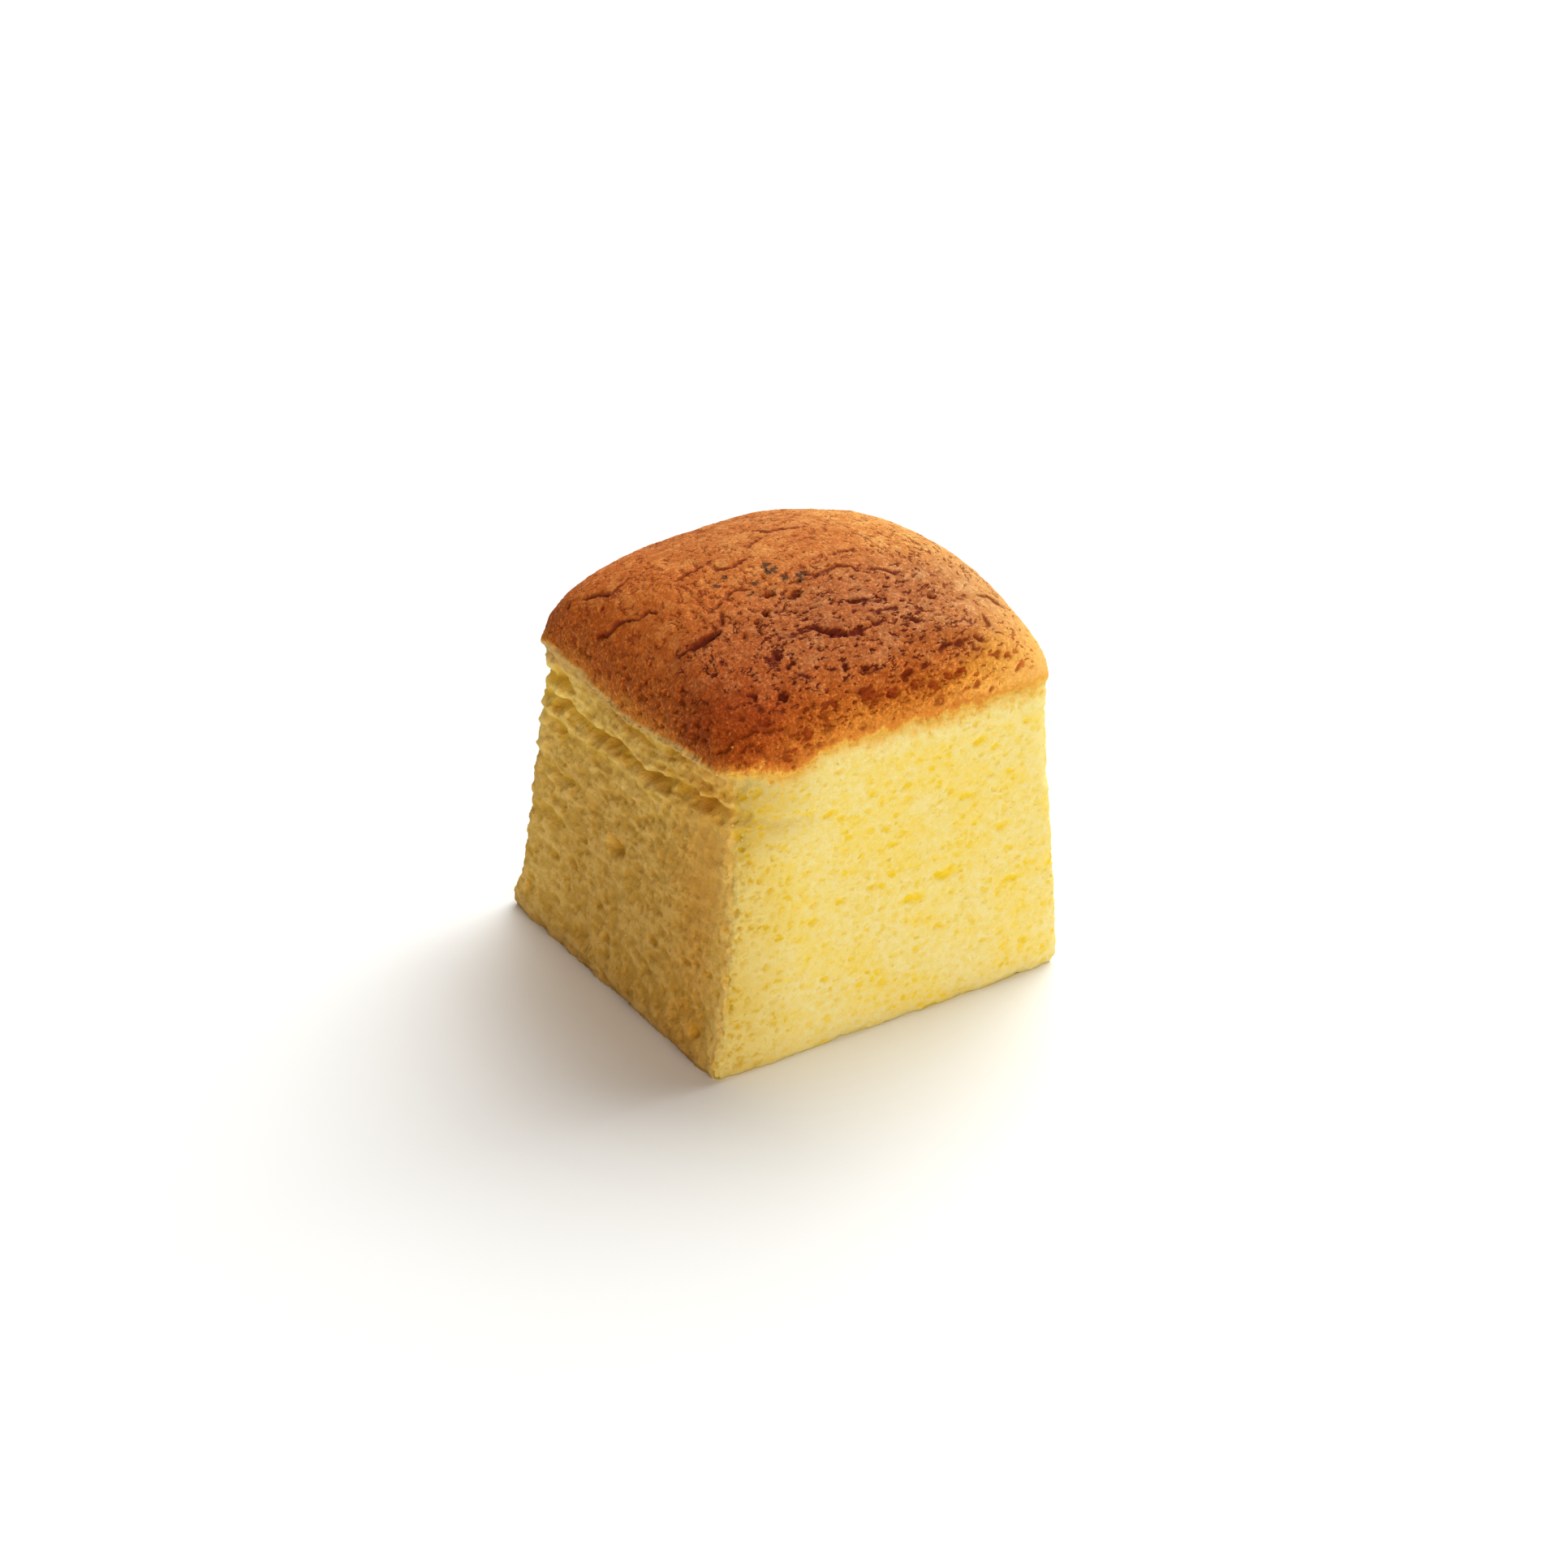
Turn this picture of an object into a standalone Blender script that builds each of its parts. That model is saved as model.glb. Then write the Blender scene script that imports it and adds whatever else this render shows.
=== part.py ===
"""A small cotton cheesecake: one square block of soft sponge under a domed, browned crust.

The cake stands on z = 0 with its footprint centred on the origin. Its front faces -Y and
its left side faces -X. Every length below is in millimetres, and MM turns it into metres.

The skin is a stack of closed rings. A ring has a level, which is its height on an even
cake, and a real height, which follows the slanting folds and the wavy edge of the crust.
"""

import math
from collections import namedtuple

import bmesh
import bpy

MM = 0.001

# Footprint of the block, and the tin's upright corners that shaped it.
SIDE_X = 58.0
SIDE_Y = 57.4
CORNER_RADIUS = 1.8

# Heights of the block.
TUCK_HEIGHT = 1.8
FOOT_HEIGHT = 6.0
LIP_HEIGHT = 42.6
CRUST_HEIGHT = 45.0
DOME_RISE = 7.1
RIM_RISE = 10.8
RIM_SHARPNESS = 8.3

# How far each wall stands in from the footprint, first at LEAN_HEIGHTS, then at the crust.
LEAN_HEIGHTS = (0.0, 15.0, 30.0, 40.0)
LEAN = {
    "left": (0.0, 2.0, 3.4, 4.2),
    "front": (0.0, -0.1, 0.2, 0.1),
    "right": (0.0, 1.4, 2.1, 2.4),
    "back": (0.0, 0.8, 1.5, 1.9),
}
CRUST_INSET = {"left": 2.6, "front": 0.5, "right": 1.9, "back": 4.2}
CRUST_CORNER_RADIUS = 4.6

# The power by which the dome's contours turn from the square rim to the round crown.
CONTOUR_POWER = 5.0

# The wall's foot: tucked in on the table, then swollen where the sponge sagged outward.
TUCK_DEPTH = 0.7
FOOT_SWELL = {"left": 0.8, "front": 0.1, "right": 0.2, "back": 0.6}

# A fold is a crease that shrinkage pressed into a wall. It runs at one level from start to
# end along the wall, measured along X or Y, and fades out over FOLD_FADE at both ends.
Fold = namedtuple("Fold", "side level depth half_width start end")
FOLDS = (
    Fold("left", 36.0, 1.3, 0.8, -31.0, 31.0),
    Fold("left", 39.2, 1.5, 0.9, 14.0, 31.0),
    Fold("left", 41.8, 0.9, 0.7, -17.0, 9.0),
    Fold("left", 32.2, 0.7, 0.7, 3.0, 31.0),
    Fold("left", 25.2, 0.7, 0.7, 6.0, 31.0),
    Fold("left", 17.5, 0.5, 0.8, 10.0, 31.0),
    Fold("front", 36.0, 0.5, 0.7, -31.0, -9.0),
    Fold("right", 34.0, 0.4, 0.8, -6.0, 24.0),
    Fold("right", 26.5, 0.4, 0.8, -25.0, -4.0),
    Fold("back", 37.5, 1.1, 0.8, -31.0, 12.0),
    Fold("back", 31.5, 0.7, 0.7, -18.0, 31.0),
    Fold("back", 24.5, 0.6, 0.8, -31.0, 2.0),
)
FOLD_FADE = 5.0

# Sponge pushed out of a fold sags over it and swells on both sides of it. Both are shares of
# the fold's depth, and the swelling's reach and width count in half widths of the fold.
FOLD_SAG = 0.45
FOLD_SWELL = 0.35
FOLD_SWELL_REACH = 2.6
FOLD_SWELL_WIDTH = 1.5

# The main fold's real height: even at the back of the left wall, climbing to the near
# corner, then running down again along the front wall.
MAIN_FOLD_LEVEL = 36.0
MAIN_FOLD_CLIMB = 3.2
LEFT_CLIMB_START = -4.0
LEFT_CLIMB_END = -22.0
FRONT_FALL_START = -26.0
FRONT_FALL_END = -9.0

# The crust's lower edge dips in the middle of the left wall and once near the front corner,
# and sits a little higher along the front.
LEFT_DIP = 1.9
LEFT_DIP_PLACE = -2.0
LEFT_DIP_WIDTH = 11.0
FRONT_RAISE = 1.2
FRONT_DIP = 2.4
FRONT_DIP_PLACE = -17.0
FRONT_DIP_WIDTH = 3.5

# Uneven spots of the dome: a swell is a soft hump, or with a negative height a dent.
Swell = namedtuple("Swell", "x y radius height")
SWELLS = (
    Swell(24.0, -7.0, 11.0, 1.4),
    Swell(-7.0, -11.5, 3.6, -0.5),
    Swell(-8.0, 18.0, 9.0, -0.5),
    Swell(15.0, 20.0, 7.0, -0.4),
    Swell(12.0, -18.0, 7.0, 0.35),
    Swell(-21.0, -2.0, 7.0, -0.35),
)

# Density of the mesh.
POINTS_PER_SIDE = 16
POINTS_PER_CORNER = 5
WALL_STEPS = 27
DOME_STEPS = 13
TOP_RING_SCALE = 0.16
CLEAR_OF_FOLD = 0.75

SPONGE_COLOUR = (0.83, 0.60, 0.16, 1.0)
SPONGE_ROUGHNESS = 0.85

# Each side's outward direction in plan, in the order in which a ring passes them.
OUTWARD = {"front": (0, -1), "right": (1, 0), "back": (0, 1), "left": (-1, 0)}

RingPoint = namedtuple("RingPoint", "x y out_x out_y")


def smoothstep(start, end, value):
    """Zero before start, one past end, and a soft climb between them."""
    share = min(max((value - start) / (end - start), 0.0), 1.0)
    return share * share * (3.0 - 2.0 * share)


def hill(offset, width):
    """One at no offset, falling away to zero over a few widths."""
    return math.exp(-((offset / width) ** 2))


def through_stations(heights, values, height):
    """A smooth curve through the values that are given at a few heights."""
    last = len(heights) - 2
    span = max(k for k in range(last + 1) if k == 0 or heights[k] <= height)
    slopes = [
        (values[min(k + 1, last + 1)] - values[max(k - 1, 0)])
        / (heights[min(k + 1, last + 1)] - heights[max(k - 1, 0)])
        for k in (span, span + 1)
    ]
    length = heights[span + 1] - heights[span]
    t = min(max((height - heights[span]) / length, 0.0), 1.0)
    start_part = (1 + 2 * t) * (1 - t) ** 2 * values[span] + t * (1 - t) ** 2 * length * slopes[0]
    end_part = t * t * (3 - 2 * t) * values[span + 1] - t * t * (1 - t) * length * slopes[1]
    return start_part + end_part


def wall_inset(side, level):
    """How far a wall stands in from the footprint at a level, without its folds."""
    lean = through_stations(LEAN_HEIGHTS, LEAN[side], min(level, LEAN_HEIGHTS[-1]))
    lip = smoothstep(LIP_HEIGHT, CRUST_HEIGHT, level)
    tuck = TUCK_DEPTH * (1.0 - smoothstep(0.0, TUCK_HEIGHT, level)) ** 2
    swell = FOOT_SWELL[side] * (1.0 - smoothstep(TUCK_HEIGHT, FOOT_HEIGHT, level))
    return lean + lip * (CRUST_INSET[side] - lean) + tuck - swell


def rounded_ring(left, right, front, back, radius):
    """Points of a rounded rectangle, anticlockwise from the front wall's left end."""
    corners = (
        (right - radius, front + radius, -90),
        (right - radius, back - radius, 0),
        (left + radius, back - radius, 90),
        (left + radius, front + radius, 180),
    )
    points = []
    from_x, from_y = left + radius, front
    for side, (centre_x, centre_y, turn) in zip(OUTWARD, corners):
        start = math.radians(turn)
        to_x = centre_x + radius * math.cos(start)
        to_y = centre_y + radius * math.sin(start)
        for k in range(POINTS_PER_SIDE):
            share = k / POINTS_PER_SIDE
            x = from_x + share * (to_x - from_x)
            y = from_y + share * (to_y - from_y)
            points.append(RingPoint(x, y, *OUTWARD[side]))
        for k in range(POINTS_PER_CORNER):
            angle = start + math.radians(90) * k / POINTS_PER_CORNER
            out_x, out_y = math.cos(angle), math.sin(angle)
            points.append(RingPoint(centre_x + radius * out_x, centre_y + radius * out_y, out_x, out_y))
        from_x = centre_x + radius * math.cos(start + math.radians(90))
        from_y = centre_y + radius * math.sin(start + math.radians(90))
    return points


def facing(side, point):
    """How squarely a ring point faces one side: one on its wall, zero on the next wall."""
    out_x, out_y = OUTWARD[side]
    return max(point.out_x * out_x + point.out_y * out_y, 0.0) ** 2


def along(side, point):
    """A point's place along a wall, on the axis that the wall follows."""
    return point.y if side in ("left", "right") else point.x


def main_fold_rise(point):
    """How much higher than its level the main fold runs at a ring point."""
    left_climb = smoothstep(LEFT_CLIMB_START, LEFT_CLIMB_END, point.y)
    front_fall = 1.0 - smoothstep(FRONT_FALL_START, FRONT_FALL_END, point.x)
    return MAIN_FOLD_CLIMB * (facing("left", point) * left_climb + facing("front", point) * front_fall)


def crust_edge_rise(point):
    """How much higher than its level the crust's lower edge runs at a ring point."""
    left_dip = LEFT_DIP * hill(point.y - LEFT_DIP_PLACE, LEFT_DIP_WIDTH)
    front_dip = FRONT_DIP * hill(point.x - FRONT_DIP_PLACE, FRONT_DIP_WIDTH)
    return facing("front", point) * (FRONT_RAISE - front_dip) - facing("left", point) * left_dip


def real_height(level, point):
    """The height of a wall point: its level, lifted along with the fold and the crust's edge."""
    fold_rise = main_fold_rise(point)
    if level <= MAIN_FOLD_LEVEL:
        return level + fold_rise * level / MAIN_FOLD_LEVEL
    share = (level - MAIN_FOLD_LEVEL) / (CRUST_HEIGHT - MAIN_FOLD_LEVEL)
    return level + fold_rise + share * (crust_edge_rise(point) - fold_rise)


def fold_strength(fold, point):
    """How strongly a fold marks the wall at a ring point, from zero to one."""
    place = along(fold.side, point)
    fade_in = smoothstep(fold.start, fold.start + FOLD_FADE, place)
    fade_out = 1.0 - smoothstep(fold.end - FOLD_FADE, fold.end, place)
    return facing(fold.side, point) * fade_in * fade_out


def folded(point, level):
    """A wall point in space, pressed in by the folds, with the lip above each one sagging."""
    pressed = 0.0
    sag = 0.0
    for fold in FOLDS:
        strength = fold_strength(fold, point)
        offset = (level - fold.level) / fold.half_width
        swell = FOLD_SWELL * hill(abs(offset) - FOLD_SWELL_REACH, FOLD_SWELL_WIDTH)
        pressed += strength * fold.depth * (1.0 / (1.0 + offset * offset) - swell)
        sag += strength * fold.depth * FOLD_SAG * hill(offset - 1.0, 1.0)
    height = real_height(level, point) - sag
    return (point.x - point.out_x * pressed, point.y - point.out_y * pressed, height)


def wall_levels():
    """Levels of the wall's rings: even steps, and three on each fold for its bottom and lips."""
    marks = {fold.level + fold.half_width * k for fold in FOLDS for k in (-1, 0, 1)}
    marks |= {0.0, TUCK_HEIGHT / 3, TUCK_HEIGHT, CRUST_HEIGHT}
    kept = []
    for mark in sorted(marks):
        if not kept or mark - kept[-1] > CLEAR_OF_FOLD / 2:
            kept.append(mark)
    steps = (CRUST_HEIGHT * k / WALL_STEPS for k in range(WALL_STEPS))
    steps = [step for step in steps if min(abs(step - mark) for mark in kept) > CLEAR_OF_FOLD]
    return sorted(kept + steps)


def wall_ring(level):
    """One ring of the sponge's wall, as points in space."""
    left, front, right, back = (wall_inset(side, level) for side in ("left", "front", "right", "back"))
    radius = CORNER_RADIUS + (CRUST_CORNER_RADIUS - CORNER_RADIUS) * smoothstep(0.0, CRUST_HEIGHT, level)
    ring = rounded_ring(
        left - SIDE_X / 2, SIDE_X / 2 - right, front - SIDE_Y / 2, SIDE_Y / 2 - back, radius
    )
    return [folded(point, level) for point in ring]


def dome_height(x, y):
    """The humps and dents of the crust at a place in plan."""
    return sum(s.height * hill(math.hypot(x - s.x, y - s.y), s.radius) for s in SWELLS)


def dome_ring(scale):
    """One ring of the crust, shrunk about the crust's middle, as points in space."""
    left, right = CRUST_INSET["left"] - SIDE_X / 2, SIDE_X / 2 - CRUST_INSET["right"]
    front, back = CRUST_INSET["front"] - SIDE_Y / 2, SIDE_Y / 2 - CRUST_INSET["back"]
    middle_x, middle_y = (left + right) / 2, (front + back) / 2
    half_x, half_y = scale * (right - left) / 2, scale * (back - front) / 2
    roundest = min(half_x, half_y)
    radius = roundest + scale ** CONTOUR_POWER * (CRUST_CORNER_RADIUS * scale - roundest)
    ring = rounded_ring(
        middle_x - half_x, middle_x + half_x, middle_y - half_y, middle_y + half_y, radius
    )
    rim = math.sqrt(max(1.0 - scale ** RIM_SHARPNESS, 0.0))
    height = CRUST_HEIGHT + DOME_RISE * (1.0 - scale ** 2) + RIM_RISE * rim
    return [
        (p.x, p.y, height + (1.0 - rim) * crust_edge_rise(p) + rim * dome_height(p.x, p.y))
        for p in ring
    ]


def dome_scales():
    """Scales of the crust's rings, close together round the rim and wide apart on top."""
    rims = (math.sin(math.radians(90) * k / DOME_STEPS) for k in range(1, DOME_STEPS))
    scales = [(1.0 - rim * rim) ** (1.0 / RIM_SHARPNESS) for rim in rims]
    return scales + [(scales[-1] + TOP_RING_SCALE) / 2, TOP_RING_SCALE]


def centred(rings):
    """The rings moved in plan so that the middle of their bounding box is on the Z axis."""
    xs = [x for ring in rings for x, _, _ in ring]
    ys = [y for ring in rings for _, y, _ in ring]
    shift_x, shift_y = (min(xs) + max(xs)) / 2, (min(ys) + max(ys)) / 2
    return [[(x - shift_x, y - shift_y, z) for x, y, z in ring] for ring in rings]


def skin(rings):
    """A closed mesh over the rings, with a flat underside and a crown on the last ring."""
    bm = bmesh.new()
    loops = [[bm.verts.new((x * MM, y * MM, z * MM)) for x, y, z in ring] for ring in rings]
    count = len(loops[0])
    for lower, upper in zip(loops, loops[1:]):
        for k in range(count):
            after = (k + 1) % count
            bm.faces.new((lower[k], lower[after], upper[after], upper[k]))
    bm.faces.new(reversed(loops[0]))
    crown = [sum(axis) / count for axis in zip(*(v.co for v in loops[-1]))]
    top = bm.verts.new(crown)
    for k in range(count):
        bm.faces.new((loops[-1][k], loops[-1][(k + 1) % count], top))
    mesh = bpy.data.meshes.new("cheesecake")
    bm.to_mesh(mesh)
    bm.free()
    return mesh


def sponge_material():
    """The pale yellow of the baked sponge."""
    material = bpy.data.materials.new("sponge")
    material.use_nodes = True
    shader = material.node_tree.nodes["Principled BSDF"]
    shader.inputs["Base Color"].default_value = SPONGE_COLOUR
    shader.inputs["Roughness"].default_value = SPONGE_ROUGHNESS
    shader.inputs["Metallic"].default_value = 0.0
    return material


def make_cheesecake():
    """The whole cake as one object."""
    walls = [wall_ring(level) for level in wall_levels()]
    dome = [dome_ring(scale) for scale in dome_scales()]
    mesh = skin(centred(walls + dome))
    mesh.materials.append(sponge_material())
    mesh.shade_smooth()
    mesh.set_sharp_from_angle(angle=math.radians(60))
    cake = bpy.data.objects.new("cheesecake", mesh)
    bpy.context.scene.collection.objects.link(cake)
    return cake


def clear_scene():
    for obj in list(bpy.data.objects):
        bpy.data.objects.remove(obj, do_unlink=True)


def main():
    clear_scene()
    make_cheesecake()


if __name__ == "__main__":
    main()
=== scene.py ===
"""A small square cotton cheesecake: soft yellow sponge under a domed, browned and cracked crust.

Run as a script, it makes the sponge, the crust, the torn flakes and crumbs that cling to them, and the
floor, lights and camera. The cake's front faces -Y and its left side faces -X. Lengths are in millimetres
until a mesh is made, and MM turns them into metres.
"""

import math
from collections import namedtuple

import bpy
import numpy as np
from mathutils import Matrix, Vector


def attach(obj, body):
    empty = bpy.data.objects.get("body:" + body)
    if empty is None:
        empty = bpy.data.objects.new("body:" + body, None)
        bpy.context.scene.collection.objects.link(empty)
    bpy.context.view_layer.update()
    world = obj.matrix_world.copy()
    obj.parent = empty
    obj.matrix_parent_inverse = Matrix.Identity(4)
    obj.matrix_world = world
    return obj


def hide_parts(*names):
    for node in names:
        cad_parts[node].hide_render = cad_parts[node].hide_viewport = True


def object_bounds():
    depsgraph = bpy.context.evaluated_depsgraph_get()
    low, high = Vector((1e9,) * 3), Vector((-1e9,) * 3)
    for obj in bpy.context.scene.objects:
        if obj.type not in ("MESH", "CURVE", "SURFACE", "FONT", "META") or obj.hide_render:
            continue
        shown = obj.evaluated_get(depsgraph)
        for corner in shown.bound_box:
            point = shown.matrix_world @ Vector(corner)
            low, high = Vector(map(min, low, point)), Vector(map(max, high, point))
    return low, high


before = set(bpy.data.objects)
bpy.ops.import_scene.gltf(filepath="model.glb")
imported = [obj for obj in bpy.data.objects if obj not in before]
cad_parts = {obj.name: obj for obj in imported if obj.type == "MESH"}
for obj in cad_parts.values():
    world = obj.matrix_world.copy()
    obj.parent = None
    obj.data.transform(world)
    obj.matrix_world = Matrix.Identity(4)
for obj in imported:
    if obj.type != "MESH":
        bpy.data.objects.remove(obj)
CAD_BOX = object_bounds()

bl_info = {
    "name": "Cotton cheesecake",
    "version": (1, 0, 0),
    "blender": (4, 5, 0),
    "location": "3D View > Sidebar > Cheesecake",
    "description": "Makes a small square cotton cheesecake with a browned crust",
    "category": "Add Mesh",
}

MM = 0.001

# Footprint of the block, and its upright edges, which grow rounder towards the crust from a height up.
SIDE_X = 58.0
SIDE_Y = 57.4
CORNER_RADIUS = 1.4
CRUST_CORNER_RADIUS = 4.6
CORNER_GROWTH_START = 14.0

# Heights of the block.
TUCK_HEIGHT = 1.8
FOOT_HEIGHT = 6.0
LIP_HEIGHT = 42.6
CRUST_HEIGHT = 45.0
DOME_RISE = 7.1
RIM_RISE = 10.8
RIM_SHARPNESS = 8.3

# How far each wall stands in from the footprint, first at LEAN_HEIGHTS, then at the crust.
LEAN_HEIGHTS = (0.0, 15.0, 30.0, 40.0)
LEAN = {
    "left": (0.0, 2.0, 3.4, 4.2),
    "front": (0.0, -0.1, 0.2, 0.1),
    "right": (0.0, 1.4, 2.1, 2.4),
    "back": (0.0, 0.8, 1.5, 1.9),
}
CRUST_INSET = {"left": 2.6, "front": 0.5, "right": 1.9, "back": 4.2}

# The power by which the dome's contours turn from the square rim to the round crown.
CONTOUR_POWER = 5.0

# The wall's foot: tucked in where it stands, then swollen where the sponge sagged outward.
TUCK_DEPTH = 0.45
FOOT_SWELL = {"left": 0.8, "front": 0.1, "right": 0.2, "back": 0.6}

# A fold is a crease that shrinkage pressed into a wall, at one level from start to end.
Fold = namedtuple("Fold", "side level depth half_width start end")
FOLDS = (
    Fold("left", 36.0, 1.9, 0.75, -31.0, 31.0),
    Fold("left", 39.2, 1.5, 0.9, 14.0, 31.0),
    Fold("left", 41.8, 0.9, 0.7, -17.0, 9.0),
    Fold("left", 32.2, 0.7, 0.7, 3.0, 31.0),
    Fold("left", 25.2, 0.7, 0.7, 6.0, 31.0),
    Fold("left", 17.5, 0.5, 0.8, 10.0, 31.0),
    Fold("front", 36.0, 0.5, 0.7, -31.0, -9.0),
    Fold("right", 34.0, 0.4, 0.8, -6.0, 24.0),
    Fold("right", 26.5, 0.4, 0.8, -25.0, -4.0),
    Fold("back", 37.5, 1.1, 0.8, -31.0, 12.0),
    Fold("back", 31.5, 0.7, 0.7, -18.0, 31.0),
    Fold("back", 24.5, 0.6, 0.8, -31.0, 2.0),
)

# How a fold fades in at its ends, how far the sponge over it sags, and the soft swells on both sides of it.
FOLD_FADE = 5.0
FOLD_SAG = 0.1
FOLD_SWELL = 0.35
FOLD_SWELL_REACH = 2.6
FOLD_SWELL_WIDTH = 1.5
DEEPEST_CREASE = 0.9
BACK_LIP_SHARE = 0.7

# Waves along a fold, in height and in depth: their size, their pace, and how their start differs by level.
FOLD_WANDER = ((0.45, 0.42, 2.1), (0.25, 1.3, 1.0))
FOLD_PULSE = ((0.3, 0.5, 1.7),)
FOLD_USUAL = 0.8

# The main fold climbs to the near corner and runs down again along the front.
MAIN_FOLD_LEVEL = 36.0
MAIN_FOLD_CLIMB = 3.2
LEFT_CLIMB_START = -4.0
LEFT_CLIMB_END = -22.0
FRONT_FALL_START = -26.0
FRONT_FALL_END = -9.0

# The crust's lower edge dips on the left wall and once near the front corner.
LEFT_DIP = 1.9
LEFT_DIP_PLACE = -2.0
LEFT_DIP_WIDTH = 11.0
FRONT_RAISE = 1.2
FRONT_DIP = 2.4
FRONT_DIP_PLACE = -17.0
FRONT_DIP_WIDTH = 3.5

# Uneven spots of the dome: a swell is a soft hump, or with a negative height a dent.
Swell = namedtuple("Swell", "x y radius height")
SWELLS = (
    Swell(24.0, -7.0, 11.0, 1.4),
    Swell(-7.0, -11.5, 3.6, -0.5),
    Swell(-8.0, 18.0, 9.0, -0.5),
    Swell(15.0, 20.0, 7.0, -0.4),
    Swell(12.0, -18.0, 7.0, 0.35),
    Swell(-21.0, -2.0, 7.0, -0.35),
)

SIDES = ("front", "right", "back", "left")
OUTWARD = {"front": (0.0, -1.0), "right": (1.0, 0.0), "back": (0.0, 1.0), "left": (-1.0, 0.0)}

# Where a ring of the skin runs, which way it faces in plan, how far above the crust's edge it is, whether
# it is on a wall (1) or on a cap (0), how near an upright edge and how deep in a fold each point is.
Ring = namedtuple("Ring", "x y z out_x out_y climb wall edge crease per_side")
EDGE_WIDTH = 2.4


def smoothstep(start, end, value):
    """Zero before start, one past end, and a soft climb between them."""
    share = np.clip((value - start) / (end - start), 0.0, 1.0)
    return share * share * (3.0 - 2.0 * share)


def hill(offset, width):
    """One at no offset, falling away to zero over a few widths."""
    return np.exp(-((offset / width) ** 2))


def through_stations(heights, values, height):
    """A smooth curve through the values that are given at a few heights."""
    last = len(heights) - 2
    span = max(k for k in range(last + 1) if k == 0 or heights[k] <= height)
    slopes = [
        (values[min(k + 1, last + 1)] - values[max(k - 1, 0)])
        / (heights[min(k + 1, last + 1)] - heights[max(k - 1, 0)])
        for k in (span, span + 1)
    ]
    length = heights[span + 1] - heights[span]
    t = min(max((height - heights[span]) / length, 0.0), 1.0)
    start_part = (1 + 2 * t) * (1 - t) ** 2 * values[span] + t * (1 - t) ** 2 * length * slopes[0]
    end_part = t * t * (3 - 2 * t) * values[span + 1] - t * t * (1 - t) * length * slopes[1]
    return start_part + end_part


def wall_inset(side, level):
    """How far a wall stands in from the footprint at a level, without its folds."""
    lean = through_stations(LEAN_HEIGHTS, LEAN[side], min(level, LEAN_HEIGHTS[-1]))
    lip = smoothstep(LIP_HEIGHT, CRUST_HEIGHT, level)
    tuck = TUCK_DEPTH * (1.0 - smoothstep(0.0, TUCK_HEIGHT, level)) ** 2
    swell = FOOT_SWELL[side] * (1.0 - smoothstep(TUCK_HEIGHT, FOOT_HEIGHT, level))
    return lean + lip * (CRUST_INSET[side] - lean) + tuck - swell


def rounded_ring(left, right, front, back, radius, per_side):
    """Places and outward directions of points on a rounded rectangle, anticlockwise, evenly spaced
    along each side. A side runs from the middle of one corner to the middle of the next."""
    centres = (
        (left + radius, front + radius),
        (right - radius, front + radius),
        (right - radius, back - radius),
        (left + radius, back - radius),
    )
    share = np.arange(per_side) / per_side
    half_corner = radius * math.pi / 4
    parts = []
    for k, side in enumerate(SIDES):
        out_x, out_y = OUTWARD[side]
        along_x, along_y = -out_y, out_x
        from_x, from_y = centres[k]
        to_x, to_y = centres[(k + 1) % len(SIDES)]
        straight = (to_x - from_x) * along_x + (to_y - from_y) * along_y
        run = share * (straight + 2 * half_corner) - half_corner
        slide = np.clip(run, 0.0, straight)
        turn = (run - slide) / radius
        faces_x = out_x * np.cos(turn) + along_x * np.sin(turn)
        faces_y = out_y * np.cos(turn) + along_y * np.sin(turn)
        x = from_x + along_x * slide + radius * faces_x
        y = from_y + along_y * slide + radius * faces_y
        parts.append((x, y, faces_x, faces_y))
    return [np.concatenate(part) for part in zip(*parts)]


def facing(side, out_x, out_y):
    """How squarely a point faces one side: one on its wall, zero on the next wall."""
    side_x, side_y = OUTWARD[side]
    return np.maximum(out_x * side_x + out_y * side_y, 0.0) ** 2


def main_fold_rise(x, y, out_x, out_y):
    """How much higher than its level the main fold runs."""
    left_climb = smoothstep(LEFT_CLIMB_START, LEFT_CLIMB_END, y)
    front_fall = 1.0 - smoothstep(FRONT_FALL_START, FRONT_FALL_END, x)
    on_left = facing("left", out_x, out_y) * left_climb
    return MAIN_FOLD_CLIMB * (on_left + facing("front", out_x, out_y) * front_fall)


def crust_edge_rise(x, y, out_x, out_y):
    """How much higher than its level the crust's lower edge runs."""
    left_dip = LEFT_DIP * hill(y - LEFT_DIP_PLACE, LEFT_DIP_WIDTH)
    front_dip = FRONT_DIP * hill(x - FRONT_DIP_PLACE, FRONT_DIP_WIDTH)
    on_front = facing("front", out_x, out_y) * (FRONT_RAISE - front_dip)
    return on_front - facing("left", out_x, out_y) * left_dip


def real_height(level, x, y, out_x, out_y):
    """The height of a wall point: its level, lifted along with the fold and the crust's edge."""
    fold_rise = main_fold_rise(x, y, out_x, out_y)
    if level <= MAIN_FOLD_LEVEL:
        return level + fold_rise * level / MAIN_FOLD_LEVEL
    share = min((level - MAIN_FOLD_LEVEL) / (CRUST_HEIGHT - MAIN_FOLD_LEVEL), 1.0)
    return level + fold_rise + share * (crust_edge_rise(x, y, out_x, out_y) - fold_rise)


def waves(kinds, place, level):
    """The sum of a few kinds of wave along a fold."""
    return sum(size * np.sin(pace * place + start * level) for size, pace, start in kinds)


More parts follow.
